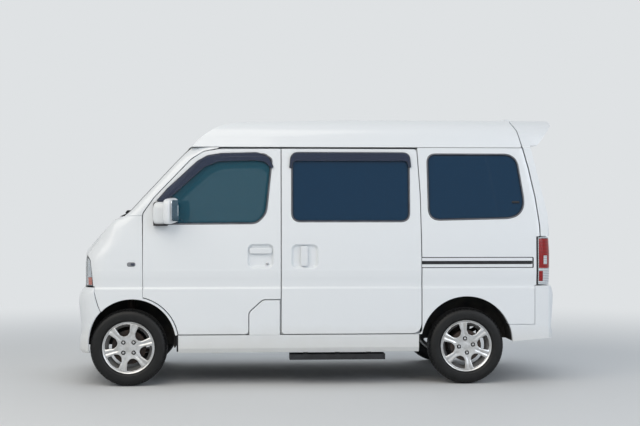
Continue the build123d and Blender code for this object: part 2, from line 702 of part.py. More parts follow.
house_recess = rod(
    REAR_AXLE_X, WAY_INNER_Y, FLOOR_SIDE_Y + SEAM, ARCHES["rear"]["z"], REAR_HOUSE_R + HOUSE_WALL + SEAT_GAP,
)
slot_y = side_width(RAIL_SLOT_Z[0]) - RAIL_DEPTH
rail_slot = block(RAIL_REAR_X, SLIDE_REAR_X, slot_y, CUT_OUTER_Y, *RAIL_SLOT_Z)

with BuildPart() as door_hinge_leaves:
    for z in HINGE_Z:
        with BuildSketch(Plane.XY.offset(z - HINGE_HALF_H)):
            with Locations((HINGE_X, HINGE_Y)):
                Circle(EYE_R)
            with Locations((HINGE_X, (LEAF_Y + HINGE_Y) / 2)):
                Rectangle(LEAF_W, HINGE_Y - LEAF_Y)
            leaf_end_x = FRONT_DOOR_X + DOOR_GAP + PIN_ROOT
            with Locations(((HINGE_X - LEAF_W / 2 + leaf_end_x) / 2, LEAF_Y + LEAF_W / 2)):
                Rectangle(leaf_end_x - HINGE_X + LEAF_W / 2, LEAF_W)
            with Locations((HINGE_X, HINGE_Y)):
                Circle(PIN_R + PIN_CLEARANCE, mode=Mode.SUBTRACT)
        extrude(amount=2 * HINGE_HALF_H)

with BuildPart() as side_left:
    add(cut_by(
        SKIN, side_prism(side_outline, CUT_INNER_Y, CUT_OUTER_Y), remove=(front_door_hole, slide_door_hole),
    ))
    add(door_frame)
    for place in ARCHES:
        add(arch_rod(place, WAY_INNER_Y, CUT_OUTER_Y), mode=Mode.SUBTRACT)
    for cut in (house_recess, screen_hole, quarter_hole, nose_hole, cowl_hole, rail_slot):
        add(cut, mode=Mode.SUBTRACT)
    add(door_hinge_leaves.part)
save(side_left, "side_left")
save_twin(side_left, "side_right")

# Roof, with the eyes that carry the tailgate
tail_axis_x, tail_axis_z = TAIL_AXIS
roof_outline = (
    (FRONT_END, DRIP_Z), (FRONT_END, CUT_TOP_Z), (TAIL_SPLIT[0][0] + DOOR_GAP, CUT_TOP_Z),
    *((x + DOOR_GAP, z) for x, z in TAIL_SPLIT if z > DRIP_Z), (TAIL_SPLIT[2][0] + DOOR_GAP, DRIP_Z),
)
eye_foot = (
    (tail_axis_x, tail_axis_z - TAIL_EYE_R), (tail_axis_x + EYE_FOOT["run"], tail_axis_z - EYE_FOOT["drop"]),
    (tail_axis_x + EYE_FOOT["root"], tail_axis_z - EYE_FOOT["drop"]),
    (tail_axis_x + EYE_FOOT["run"], tail_axis_z + EYE_FOOT["rise"]), (tail_axis_x, tail_axis_z + TAIL_EYE_R),
)
with BuildPart() as roof:
    add(cut_by(SKIN, side_prism(roof_outline, -CUT_OUTER_Y, CUT_OUTER_Y), remove=(screen_hole,)))
    for y in (-TAIL_HINGE_Y, TAIL_HINGE_Y):
        y_pair = (y - TAIL_EYE_W / 2, y + TAIL_EYE_W / 2)
        pocket_y = (y_pair[0] - TAIL_EAR_W - HINGE_ROOM, y_pair[1] + TAIL_EAR_W + HINGE_ROOM)
        add(rod(tail_axis_x, *pocket_y, tail_axis_z, TAIL_EYE_R + HINGE_ROOM), mode=Mode.SUBTRACT)
        add(rod(tail_axis_x, *y_pair, tail_axis_z, TAIL_EYE_R))
        add(side_prism(eye_foot, *y_pair))
        add(rod(tail_axis_x, *y_pair, tail_axis_z, TAIL_PIN_R + PIN_CLEARANCE), mode=Mode.SUBTRACT)
save(roof, "roof")

with BuildPart() as windscreen:
    add(cut_by(GLASS_LAYER, window_prism(SCREEN, SCREEN_REAR_X, LENGTH, -SEAT_GAP)))
save(windscreen, "windscreen")



def handle_recess(handle):
    """What is cut from a door round its grip, as deep as the seams."""
    (x_low, x_high), (z_low, z_high) = handle["x"], handle["z"]
    outline = ((x_low, z_low), (x_high, z_low), (x_high, z_high), (x_low, z_high))
    grip = block(*handle["grip_x"], CUT_INNER_Y, CUT_OUTER_Y, *handle["grip_z"])
    recess = side_prism(outline, CUT_INNER_Y, CUT_OUTER_Y, HANDLE_R)
    return cut_by(layer(-RAIL_COVER, SEAM_DEPTH), recess, remove=(grip,))


# Front doors: pockets round the body's hinge leaves, and a pin through each eye
door_edge = cut_by(
    block(HINGE_X, FRONT_DOOR_X + DOOR_GAP, HINGE_Y, CUT_OUTER_Y, 0.0, HEIGHT),
    remove=(post(HINGE_X, HINGE_Y, 0.0, HEIGHT, HINGE_DEPTH + PIN_ROOM),),
)
with BuildPart() as door_left:
    add(cut_by(
        SKIN, sketch_prism(front_door_sketch(0.0), CUT_INNER_Y, CUT_OUTER_Y),
        remove=(front_window_hole, door_edge, handle_recess(HANDLES["front"])),
    ))
    for z in HINGE_Z:
        pocket_z = (z - HINGE_HALF_H - HINGE_ROOM, z + HINGE_HALF_H + HINGE_ROOM)
        add(
            block(
                HINGE_X - LEAF_W / 2 - HINGE_ROOM, FRONT_DOOR_X + DOOR_GAP, CUT_INNER_Y,
                HINGE_Y + EYE_R + PIN_ROOM, *pocket_z,
            ),
            mode=Mode.SUBTRACT,
        )
        add(post(HINGE_X, HINGE_Y, pocket_z[0] - PIN_ROOT, pocket_z[1] + PIN_ROOT, PIN_R))
save(door_left, "door_left")
save_twin(door_left, "door_right")

with BuildPart() as door_glass_left:
    add(cut_by(
        GLASS_LAYER, side_prism(FRONT_WINDOW, CUT_INNER_Y, CUT_OUTER_Y, FRONT_WINDOW_R, -SEAT_GAP),
    ))
save(door_glass_left, "door_glass_left")
save_twin(door_glass_left, "door_glass_right")

# Sliding doors: roller arms ride on the frame below, under the frame above and in the rail slot
roller_x = (DOOR_SPLIT_X - 108.5, DOOR_SPLIT_X - 108.5 + ROLLER_W)
roller_y = (HALF_WIDTH - WALL - FRAME_WALL + ROLLER_T / 2, HALF_WIDTH - WALL + ROLLER_T)
low_seat_z = SILL_TOP_Z + REBATE + SEAT_GAP
high_seat_z = DOOR_TOP_Z - REBATE - SEAT_GAP
top_tuck = HALF_WIDTH - side_width(DOOR_TOP_Z)
with BuildPart() as slide_door_left:
    add(cut_by(
        SKIN, sketch_prism(slide_door_sketch(0.0), CUT_INNER_Y, CUT_OUTER_Y),
        remove=(slide_hole, handle_recess(HANDLES["slide"])),
    ))
    add(block(*roller_x, *roller_y, low_seat_z, low_seat_z + ROLLER_T))
    add(block(*roller_x, *(y - top_tuck for y in roller_y), high_seat_z - ROLLER_T, high_seat_z))
    add(block(
        SLIDE_REAR_X - ROLLER_REACH, SLIDE_REAR_X + ROLLER_REACH,
        slot_y + SEAT_GAP, slot_y + SEAT_GAP + ROLLER_ARM,
        RAIL_SLOT_Z[0] + HINGE_ROOM, RAIL_SLOT_Z[1] - HINGE_ROOM,
    ))
save(slide_door_left, "slide_door_left")
save_twin(slide_door_left, "slide_door_right")

with BuildPart() as slide_glass:
    add(cut_by(
        GLASS_LAYER,
        side_prism(slide_window_outline, CUT_INNER_Y, CUT_OUTER_Y, SLIDE_WINDOW["corner"], -SEAT_GAP),
    ))
    mirror(about=Plane.XZ)
save(slide_glass, "slide_glass")
with BuildPart() as quarter_glass:
    add(cut_by(
        GLASS_LAYER, side_prism(QUARTER_WINDOW, CUT_INNER_Y, CUT_OUTER_Y, QUARTER_WINDOW_R, -SEAT_GAP),
    ))
    mirror(about=Plane.XZ)
save(quarter_glass, "quarter_glass")

# Tailgate, its glass and the spoiler with the hinge ears and pins
tail_zone = side_prism(
    (
        (-LENGTH, TAIL_SPLIT[2][1]), *TAIL_SPLIT[2:-1], (TAIL_SPLIT[-1][0], TAIL_WRAP_Z),
        (-LENGTH, TAIL_WRAP_Z),
    ),
    -CUT_OUTER_Y, CUT_OUTER_Y,
)
tail_foot = block(
    -LENGTH, TAIL_LAMP_X + DOOR_GAP, -TAIL_LAMP_Y + DOOR_GAP, TAIL_LAMP_Y - DOOR_GAP,
    BUMPER_TOP_Z + DOOR_GAP, TAIL_WRAP_Z,
)
with BuildPart() as tailgate:
    add(cut_by(SKIN, tail_zone))
    add(cut_by(SKIN, tail_foot))
    add(window_prism(TAILGATE_GLASS, -LENGTH, TAIL_FRONT_X), mode=Mode.SUBTRACT)
save(tailgate, "tailgate")
with BuildPart() as tailgate_glass:
    add(cut_by(GLASS_LAYER, window_prism(TAILGATE_GLASS, -LENGTH, TAIL_FRONT_X, -SEAT_GAP)))
save(tailgate_glass, "tailgate_glass")

spoiler_foot_z = TAIL_SPLIT[2][1] + SEAT_GAP
spoiler_outline = (
    *TAIL_SPLIT[:2], (TAIL_SPLIT[2][0], spoiler_foot_z), (SPOILER_TAIL[0][0], spoiler_foot_z),
    *SPOILER_TAIL[1:], *SPOILER_RAMP,
)
ear_outline = (
    (tail_axis_x, tail_axis_z - TAIL_EYE_R), (tail_axis_x, tail_axis_z + TAIL_EYE_R),
    (tail_axis_x - EAR_FOOT["run"], tail_axis_z + EAR_FOOT["rise"]),
    (tail_axis_x - EAR_FOOT["run"], tail_axis_z - EAR_FOOT["drop"]),
)
ear_y = TAIL_EYE_W / 2 + PIN_ROOM
with BuildPart() as spoiler:
    with BuildSketch(Plane.YZ.offset(REAR_END)):
        add(body_section(0.0))
    extrude(amount=LENGTH / 4)
    add(side_prism(spoiler_outline, -CUT_OUTER_Y, CUT_OUTER_Y), mode=Mode.INTERSECT)
    for y in (-TAIL_HINGE_Y, TAIL_HINGE_Y):
        for y_pair in ((y - ear_y - TAIL_EAR_W, y - ear_y), (y + ear_y, y + ear_y + TAIL_EAR_W)):
            add(rod(tail_axis_x, *y_pair, tail_axis_z, TAIL_EYE_R))
            add(side_prism(ear_outline, *y_pair))
        add(rod(tail_axis_x, y - ear_y - PIN_ROOT, y + ear_y + PIN_ROOT, tail_axis_z, TAIL_PIN_R))
save(spoiler, "spoiler")

with BuildPart() as rear_wiper:
    add(cut_by(layer(-REAR_WIPER_T, -SEAT_GAP), front_prism(REAR_WIPER, -LENGTH, REAR_END / 2)))
save(rear_wiper, "rear_wiper")


def front_bumper_zone(clearance):
    """Where the front bumper lies, from its side seam to the nose."""
    return block(BUMPER_SIDE_X + clearance, LENGTH, -CUT_OUTER_Y, CUT_OUTER_Y, 0.0, BUMPER_TOP_Z)


def rear_bumper_zone(clearance):
    """Where the rear bumper lies: behind the wheel arch, below the quarter panel and the tailgate."""
    arch_x = ARCHES["rear"]["x"]
    side_x = REAR_BUMPER_X - clearance
    lip_z = REAR_LIP_Z - clearance
    top_z = BUMPER_TOP_Z - clearance
    foot_z = REAR_BUMPER_FOOT[1][1]
    outline = (
        (-LENGTH, top_z), (side_x, top_z), (side_x, lip_z), (arch_x, lip_z), (arch_x, REAR_BUMPER_FOOT[0][1]),
        *REAR_BUMPER_FOOT, (-LENGTH, foot_z),
    )
    return side_prism(outline, -CUT_OUTER_Y, CUT_OUTER_Y)


house = {"r": FRONT_HOUSE_R + HOUSE_WALL + SEAT_GAP, "z": ARCHES["front"]["z"]}
with BuildPart() as house_voids:
    add(rod(FRONT_AXLE_X, FRONT_HOUSE_Y, CUT_OUTER_Y, house["z"], house["r"]))
    add(block(
        FRONT_AXLE_X - FRONT_HOUSE_R, FRONT_AXLE_X + house["r"], FRONT_HOUSE_Y, CUT_OUTER_Y, 0.0, house["z"],
    ))
    mirror(about=Plane.XZ)
with BuildPart() as front_bumper:
    add(flanged(bumper_layer, BUMPER_WALL, front_bumper_zone))
    add(house_voids.part, mode=Mode.SUBTRACT)
    add(
        block(0.0, FIREWALL_X + FLOOR_T + SEAT_GAP, -FLOOR_SIDE_Y, FLOOR_SIDE_Y, 0.0, HEIGHT),
        mode=Mode.SUBTRACT,
    )
    add(window_prism(INTAKE, BUMPER_SIDE_X, LENGTH), mode=Mode.SUBTRACT)
save(front_bumper, "front_bumper")

with BuildPart() as rear_bumper:
    add(flanged(bumper_layer, BUMPER_WALL, rear_bumper_zone))
    for y_low, y_high in ((-CUT_OUTER_Y, -REAR_HOUSE_Y), (REAR_HOUSE_Y, CUT_OUTER_Y)):
        add(arch_rod("rear", y_low, y_high, REAR_HOUSE_R - ARCHES["rear"]["r"]), mode=Mode.SUBTRACT)
save(rear_bumper, "rear_bumper")

with BuildPart() as grille:
    add(cut_by(layer(-GRILLE_PROUD, GRILLE_DEPTH), window_prism(INTAKE, BUMPER_SIDE_X, LENGTH, -SEAT_GAP)))
save(grille, "grille")


def headlamp_zone(clearance):
    """Where the left headlamp lies: its edge runs up the wing, its foot stands on the bumper."""
    outline = (*((x + clearance, z) for x, z in LAMP_FRONT), (LENGTH, LAMP_TOP_Z), (LENGTH, BUMPER_TOP_Z))
    return cut_by(
        side_prism(outline, LAMP_INNER_Y, CUT_OUTER_Y),
        block(0.0, LENGTH, 0.0, CUT_OUTER_Y, BUMPER_TOP_Z + clearance, LAMP_TOP_Z - SEAM),
    )


def front_panel_zone(clearance):
    """Where the front panel lies, between the headlamps."""
    return block(
        BUMPER_SIDE_X, LENGTH, -LAMP_INNER_Y + clearance, LAMP_INNER_Y - clearance,
        BUMPER_TOP_Z + clearance, LAMP_TOP_Z - SEAM,
    )


def tail_lamp_zone(clearance):
    """Where the left tail lamp lies, behind its upright edge on the quarter panel."""
    return block(-LENGTH, TAIL_LAMP_X - clearance, TAIL_LAMP_Y, CUT_OUTER_Y, *TAIL_LAMP_Z)


with BuildPart() as headlamps:
    add(flanged(layer, LAMP_DEPTH, headlamp_zone))
    mirror(about=Plane.XZ)
save(headlamps, "headlamps")

with BuildPart() as front_panel:
    add(flanged(layer, WALL, front_panel_zone))
save(front_panel, "front_panel")

with BuildPart() as tail_lamps:
    add(flanged(layer, LAMP_DEPTH, tail_lamp_zone))
    mirror(about=Plane.XZ)
save(tail_lamps, "tail_lamps")

# Bonnet lid and cowl, joined by a piano hinge in the gap between them
hinge_x, hinge_z = BONNET_AXIS


def bonnet_knuckle(y_low, y_high, z_leaf, bore):
    """One knuckle of the hinge with its leaf, bored for the pin or carrying it."""
    with BuildPart() as knuckle:
        add(rod(hinge_x, y_low, y_high, hinge_z, KNUCKLE_R))
        add(block(hinge_x - KNUCKLE_LEAF, hinge_x, y_low, y_high, *z_leaf))
        if bore:
            add(rod(hinge_x, y_low, y_high, hinge_z, bore), mode=Mode.SUBTRACT)
    return knuckle.part


lid_leaf_z = (LID_TOP_Z - SEAM, hinge_z - KNUCKLE_R / 2)
cowl_leaf_z = (hinge_z + KNUCKLE_R / 2, COWL_FOOT_Z + SEAM)
with BuildPart() as bonnet:
    add(cut_by(
        SKIN,
        block(
            BONNET_REAR[0] - BONNET_DEPTH, LENGTH, -BONNET_HALF_W, BONNET_HALF_W,
            LAMP_TOP_Z - SEAM + DOOR_GAP, LID_TOP_Z,
        ),
    ))
    for direction in (1, -1):
        add(bonnet_knuckle(*sorted(direction * y for y in KNUCKLE_Y), lid_leaf_z, 0.0))
    add(rod(hinge_x, -KNUCKLE_Y[1], KNUCKLE_Y[1], hinge_z, BONNET_PIN_R))
save(bonnet, "bonnet")

with BuildPart() as cowl:
    add(cut_by(
        SKIN,
        block(
            NOSE_CUT_X, LENGTH, -COWL_HALF_W + SEAT_GAP, COWL_HALF_W - SEAT_GAP, COWL_FOOT_Z, SCREEN["z_low"],
        ),
    ))
    cowl_knuckle_y = KNUCKLE_Y[0] - PIN_ROOM
    add(bonnet_knuckle(-cowl_knuckle_y, cowl_knuckle_y, cowl_leaf_z, BONNET_PIN_R + PIN_CLEARANCE))
save(cowl, "cowl")

with BuildPart() as front_wipers:
    for y_low, y_high in FRONT_WIPERS:
        blade = (
            (y_low, WIPER_INNER_Z[0]), (y_high, WIPER_OUTER_Z[0]), (y_high, WIPER_OUTER_Z[1]),
            (y_low, WIPER_INNER_Z[1]),
        )
        pivot = (
            (y_low, WIPER_POST_Z), (y_low + WIPER_POST_W, WIPER_POST_Z),
            (y_low + WIPER_POST_W, WIPER_OUTER_Z[0]), (y_low, WIPER_OUTER_Z[0]),
        )
        for outline in (blade, pivot):
            add(cut_by(layer(-WIPER_T, -SEAT_GAP), front_prism(outline, WIPER_REAR_X, LENGTH)))
save(front_wipers, "front_wipers")

# Sills and side step
sill_x = (
    ARCHES["rear"]["x"] + ARCHES["rear"]["r"] + SILL_END_GAP,
    ARCHES["front"]["x"] - ARCHES["front"]["r"] - SILL_END_GAP,
)
sill_outline = (
    (SILL_INNER_Y, SIDE_BOTTOM_Z - SEAT_GAP), (SILL_INNER_Y, SILL_BOTTOM_Z),
    (HALF_WIDTH - 15.5, SILL_BOTTOM_Z), (HALF_WIDTH - 2.5, SILL_BOTTOM_Z + 31.0),
    (HALF_WIDTH - 2.5, SIDE_BOTTOM_Z - SEAT_GAP),
)
with BuildPart() as sills:
    add(front_prism(sill_outline, *sill_x))
    add(block(*JACK_PAD["x"], *JACK_PAD["y"], SILL_BOTTOM_Z - JACK_PAD["t"], SILL_BOTTOM_Z))
    mirror(about=Plane.XZ)
save(sills, "sills")
with BuildPart() as side_step:
    add(block(*STEP_X, *STEP_Y, *STEP_Z))
    bracket_pitch = (STEP_X[1] - STEP_X[0]) / STEP_BRACKETS
    for index in range(STEP_BRACKETS):
        x = STEP_X[0] + bracket_pitch * (index + 0.5)
        add(block(
            x - STEP_BRACKET_HALF, x + STEP_BRACKET_HALF, *STEP_BRACKET_Y, STEP_Z[1],
            SILL_BOTTOM_Z - SEAT_GAP,
        ))
save(side_step, "side_step")

# Rain visors, mirrors and rail covers
visor_layer = layer(-VISOR_T, -SEAT_GAP)
with BuildPart() as door_visor_left:
    add(cut_by(visor_layer, side_prism(DOOR_VISOR, CUT_INNER_Y, CUT_OUTER_Y)))
save(door_visor_left, "door_visor_left")
save_twin(door_visor_left, "door_visor_right")

side_visor_x = (
    (SLIDE_WINDOW["rear"] - SIDE_VISOR_LAP["slide"][0], SLIDE_WINDOW["front"] + SIDE_VISOR_LAP["slide"][1]),
    (QUARTER_WINDOW[4][0] - SIDE_VISOR_LAP["quarter"][0], QUARTER_FRONT_X + SIDE_VISOR_LAP["quarter"][1]),
)
with BuildPart() as side_visors:
    for x_pair in side_visor_x:
        add(cut_by(visor_layer, block(*x_pair, CUT_INNER_Y, CUT_OUTER_Y, *VISOR_Z)))
    mirror(about=Plane.XZ)
save(side_visors, "side_visors")

with BuildPart() as door_mirror_left:
    with BuildSketch(Plane.XY.offset(MIRROR_Z[0])):
        with Locations((MIRROR["x"], MIRROR["y"])):
            RectangleRounded(MIRROR["depth"], MIRROR["w"], MIRROR["corner"])
    extrude(amount=MIRROR_Z[1] - MIRROR_Z[0])
    add(cut_by(
        block(*MIRROR_ARM_X, side_width(BELT_Z) - WALL, MIRROR["y"], *MIRROR_ARM_Z),
        remove=(body_form(-SEAT_GAP),),
    ))
save(door_mirror_left, "door_mirror_left")
save_twin(door_mirror_left, "door_mirror_right")

with BuildPart() as rail_covers:
    for z_pair in ((RAIL_BAND_Z[0], RAIL_SLOT_Z[0]), (RAIL_SLOT_Z[1], RAIL_BAND_Z[1])):
        add(cut_by(
            layer(-RAIL_COVER, -SEAT_GAP),
            block(RAIL_REAR_X, SLIDE_REAR_X - SEAM, CUT_INNER_Y, CUT_OUTER_Y, *z_pair),
        ))
    mirror(about=Plane.XZ)
save(rail_covers, "rail_covers")

# Floor: one stepped sheet, wheelhouses, rails, tow eyes and strut mounts
floor_top = (
    (FIREWALL_X, FIREWALL_TOP_Z), (FIREWALL_X, CAB_FLOOR_Z), (SEAT_BOX_X[1], CAB_FLOOR_Z),
    (SEAT_BOX_X[1], SEAT_BOX_Z), (SEAT_BOX_X[0], SEAT_BOX_Z), (SEAT_BOX_X[0], CARGO_FLOOR_Z),
    (FLOOR_REAR_X, CARGO_FLOOR_Z),
)
floor_under = (
    (FLOOR_REAR_X, CARGO_FLOOR_Z - FLOOR_T), (SEAT_BOX_X[0] + FLOOR_T, CARGO_FLOOR_Z - FLOOR_T),
    (SEAT_BOX_X[0] + FLOOR_T, SEAT_BOX_Z - FLOOR_T), (SEAT_BOX_X[1] - FLOOR_T, SEAT_BOX_Z - FLOOR_T),
    (SEAT_BOX_X[1] - FLOOR_T, CAB_FLOOR_Z - FLOOR_T), (FIREWALL_X + FLOOR_T, CAB_FLOOR_Z - FLOOR_T),
    (FIREWALL_X + FLOOR_T, FIREWALL_TOP_Z),
)


def strut_plane(side):
    """The plane square to the steering axis at the top of the strut, facing up and in."""
    rise = (0.0, side * (KINGPIN_TOP[0] - KINGPIN_LOW[0]), KINGPIN_TOP[1] - KINGPIN_LOW[1])
    return Plane(origin=(FRONT_AXLE_X, side * KINGPIN_TOP[0], KINGPIN_TOP[1]), x_dir=(1, 0, 0), z_dir=rise)


def spread(side, near, far):
    """The two Y limits of something on one side, lowest first."""
    return sorted((side * near, side * far))


def tow_eye(tow):
    """A tow eye: a level ring plate carried by a web under a floor rail."""
    y_pair = (tow["y"] - TOW_HALF_W, tow["y"] + TOW_HALF_W)
    with BuildPart() as eye:
        add(post(tow["x"], tow["y"], tow["z"], tow["z"] + TOW_PLATE, TOW_HALF_W))
        add(block(*sorted((tow["x"], tow["root"])), *y_pair, tow["z"], tow["z"] + TOW_PLATE))
        add(block(tow["root"] - TOW_PLATE, tow["root"], *y_pair, tow["z"], tow["top"]))
        add(post(tow["x"], tow["y"], tow["z"], tow["z"] + TOW_PLATE, TOW_R), mode=Mode.SUBTRACT)
    return eye.part


with BuildPart() as floor_pan:
    add(side_prism((*floor_top, *floor_under), -FLOOR_HALF_W, FLOOR_HALF_W))
    add(block(
        FLOOR_REAR_X, FLOOR_WIDE_X, -FLOOR_SIDE_Y, FLOOR_SIDE_Y, CARGO_FLOOR_Z - FLOOR_T, CARGO_FLOOR_Z,
    ))
    for side in (1, -1):
        arch_z = ARCHES["front"]["z"]
        add(cut_by(
            rod(FRONT_AXLE_X, *spread(side, FRONT_HOUSE_Y, FLOOR_HALF_W), arch_z, FRONT_HOUSE_R + HOUSE_WALL),
            block(0.0, LENGTH, -WIDTH, WIDTH, HOUSE_FOOT_Z["front"], HEIGHT),
        ))
        inside = spread(side, FRONT_HOUSE_Y + HOUSE_WALL, CUT_OUTER_Y)
        add(rod(FRONT_AXLE_X, *inside, arch_z, FRONT_HOUSE_R), mode=Mode.SUBTRACT)
        add(
            block(FRONT_AXLE_X - FRONT_HOUSE_R, FRONT_AXLE_X + FRONT_HOUSE_R, *inside, 0.0, arch_z),
            mode=Mode.SUBTRACT,
        )
        with BuildSketch(strut_plane(side).offset(SEAT_GAP)):
            Circle(STRUT_MOUNT_R)
        extrude(amount=STRUT_MOUNT_L)
        arch_z = ARCHES["rear"]["z"]
        add(cut_by(
            rod(REAR_AXLE_X, *spread(side, REAR_HOUSE_Y, FLOOR_SIDE_Y), arch_z, REAR_HOUSE_R + HOUSE_WALL),
            block(-LENGTH, 0.0, -WIDTH, WIDTH, HOUSE_FOOT_Z["rear"], CARGO_FLOOR_Z),
        ))
        inside = spread(side, REAR_HOUSE_Y + HOUSE_WALL, CUT_OUTER_Y)
        add(rod(REAR_AXLE_X, *inside, arch_z, REAR_HOUSE_R), mode=Mode.SUBTRACT)
        add(
            block(
                REAR_AXLE_X - AXLE_ROOM, REAR_AXLE_X + AXLE_ROOM, *spread(side, REAR_HOUSE_Y, FLOOR_SIDE_Y),
                0.0, TYRE_R + AXLE_ROOM + PIN_ROOT,
            ),
            mode=Mode.SUBTRACT,
        )
        for rail in (REAR_RAIL, FRONT_RAIL):
            add(block(*rail["x"], *spread(side, *rail["y"]), *rail["z"]))
    add(block(
        *LINER["x"], -LINER["half_w"], LINER["half_w"], CARGO_FLOOR_Z, CARGO_FLOOR_Z + LINER["t"],
    ))
    for tow in (FRONT_TOW, REAR_TOW):
        add(tow_eye(tow))
save(floor_pan, "floor_pan")

under_floor_z = CARGO_FLOOR_Z - FLOOR_T - SEAT_GAP
with BuildPart() as engine:
    add(block(
        *ENGINE["x"], -ENGINE["half_w"], ENGINE["half_w"], ENGINE["z"], SEAT_BOX_Z - FLOOR_T - SEAT_GAP,
    ))
    fillet(edges().filter_by(Axis.Y), ENGINE["corner"])
save(engine, "engine")
with BuildPart() as fuel_tank:
    add(block(*TANK["x"], *TANK["y"], TANK["z"], under_floor_z))
    fillet(edges().filter_by(Axis.Z), TANK["corner"])
save(fuel_tank, "fuel_tank")
with BuildPart() as exhaust:
    for x, length, radius in (
        (SILENCER["x"], SILENCER["length"], SILENCER["r"]), (PIPE["x"], PIPE["length"], PIPE["r"]),
    ):
        with BuildSketch(Plane.YZ.offset(x)):
            with Locations((SILENCER["y"], SILENCER["z"])):
                Circle(radius)
        extrude(amount=length)
    for x in HANGERS_X:
        add(block(
            x - HANGER_HALF, x + HANGER_HALF, SILENCER["y"] - HANGER_HALF, SILENCER["y"] + HANGER_HALF,
            SILENCER["z"], under_floor_z,
        ))
save(exhaust, "exhaust")

# Rear axle on leaf springs, with the drums that carry the wheels
spring_top_z = REAR_RAIL["z"][0] - SEAT_GAP
leaf_half = (
    (SPRING_HALF + SPRING_EYE, SPRING_EYE_Z), (SPRING_HALF, spring_top_z),
    (SPRING_HALF - SPRING_EYE, SPRING_EYE_Z),
)
tube_top_z = TYRE_R + AXLE_TUBE_R
spring_outline = (
    *((REAR_AXLE_X - dx, z) for dx, z in leaf_half), (REAR_AXLE_X, tube_top_z + SPRING_SEAT[0]),
    *((REAR_AXLE_X + dx, z) for dx, z in reversed(leaf_half)), (REAR_AXLE_X, tube_top_z - SPRING_SEAT[1]),
)
hub_seat_y = HALF_TRACK + HUB_FACE - SEAT_GAP
with BuildPart() as rear_axle:
    add(rod(REAR_AXLE_X, -DRUM_Y, DRUM_Y, TYRE_R, AXLE_TUBE_R))
    add(rod(REAR_AXLE_X, -DIFF["half_w"], DIFF["half_w"], TYRE_R, DIFF["r"]))
    for side in (1, -1):
        add(rod(REAR_AXLE_X, *spread(side, DRUM_Y, hub_seat_y), TYRE_R, DRUM_R))
        add(side_prism(spring_outline, *spread(side, *SPRING_Y)))
save(rear_axle, "rear_axle")
shaft_x = (REAR_AXLE_X + DIFF["r"] + SHAFT["gap"], ENGINE["x"][0] - SEAT_GAP)
with BuildPart() as propshaft:
    with BuildSketch(Plane.YZ.offset(shaft_x[0])):
        with Locations((0.0, TYRE_R + SHAFT["rise"])):
            Circle(SHAFT["r"])
    extrude(amount=shaft_x[1] - shaft_x[0])
save(propshaft, "propshaft")

# Front crossmember with its arms, and the knuckles that turn on ball and strut
with BuildPart() as front_suspension:
    add(block(
        FRONT_AXLE_X - MEMBER_HALF_X, FRONT_AXLE_X + MEMBER_HALF_X, -HALF_MEMBER_Y, HALF_MEMBER_Y, *MEMBER_Z,
    ))
    arm_end_y = KINGPIN_LOW[0] + ARM_PAD
    arm = (
        (FRONT_RAIL["y"][0], MEMBER_Z[0]), (FRONT_RAIL["y"][0], MEMBER_Z[0] - ARM_DEPTH),
        (arm_end_y - 5 * ARM_PAD, ARM_TOP_Z - HOUSE_WALL), (arm_end_y, ARM_TOP_Z - HOUSE_WALL),
        (arm_end_y, ARM_TOP_Z), (arm_end_y - 4 * ARM_PAD, ARM_TOP_Z),
        (FRONT_RAIL["y"][0] + ARM_DEPTH, MEMBER_Z[0] + SEAM),
    )
    for side in (1, -1):
        arm_side = tuple((side * y, z) for y, z in arm)
        add(front_prism(arm_side, FRONT_AXLE_X - ARM_HALF_X, FRONT_AXLE_X + ARM_HALF_X))
save(front_suspension, "front_suspension")

ball_z = ARM_TOP_Z + SEAT_GAP + BALL_R
axis_lean = (KINGPIN_TOP[0] - KINGPIN_LOW[0]) / (KINGPIN_TOP[1] - KINGPIN_LOW[1])
ball_y = KINGPIN_LOW[0] + (ball_z - KINGPIN_LOW[1]) * axis_lean
with BuildPart() as knuckle_left:
    add(rod(FRONT_AXLE_X, STEER_ARM["y"][0], hub_seat_y, TYRE_R, STUB_R))
    add(rod(FRONT_AXLE_X, *DISC_Y, TYRE_R, DISC_R))
    add(block(
        FRONT_AXLE_X - UPRIGHT["half_x"], FRONT_AXLE_X + UPRIGHT["half_x"], *UPRIGHT["y"],
        ARM_TOP_Z + PIN_ROOT, TYRE_R + STUB_R + UPRIGHT["over"],
    ))
    steer_arm_z = TYRE_R - STUB_R - STEER_ARM["drop"]
    add(block(
        FRONT_AXLE_X - STEER_ARM["reach"], FRONT_AXLE_X, *STEER_ARM["y"], steer_arm_z,
        steer_arm_z + STEER_ARM["t"],
    ))
    with Locations((FRONT_AXLE_X, ball_y, ball_z)):
        Sphere(BALL_R)
    with BuildSketch(strut_plane(1)):
        Circle(STRUT_R)
    extrude(amount=-STRUT_LENGTH)
save(knuckle_left, "knuckle_left")
save_twin(knuckle_left, "knuckle_right")

# Wheels: half sections from the wheel's middle outwards, as rows of width and radius
rim_half = (
    (RIM_W / 2, FLANGE_R), (RIM_W / 2 - RIM_LIP, FLANGE_R), (RIM_W / 2 - RIM_LIP, BEAD_R),
    (DROP_HALF_W, DROP_R),
)
rim_bore = ((RIM_W / 2, BEAD_R + RIM_T), (RIM_W / 2 - RIM_T, BEAD_R - RIM_T), (DROP_HALF_W, DROP_R - RIM_T))
bead_y = RIM_W / 2 - RIM_LIP - 2 * SEAT_GAP
tyre_half = (
    (TREAD_W / 2, TYRE_R), (TYRE_W / 2 - 6.0, TYRE_R - 12.0), (TYRE_W / 2, TYRE_R - 50.0),
    (TYRE_W / 2 - 8.0, FLANGE_R + 10.0), (bead_y, FLANGE_R + 2.0), (bead_y, BEAD_R + SEAT_GAP),
)


def both_sides(half):
    """The outline across a wheel from its outer half."""
    return (*half, *((-w, r) for w, r in reversed(half)))


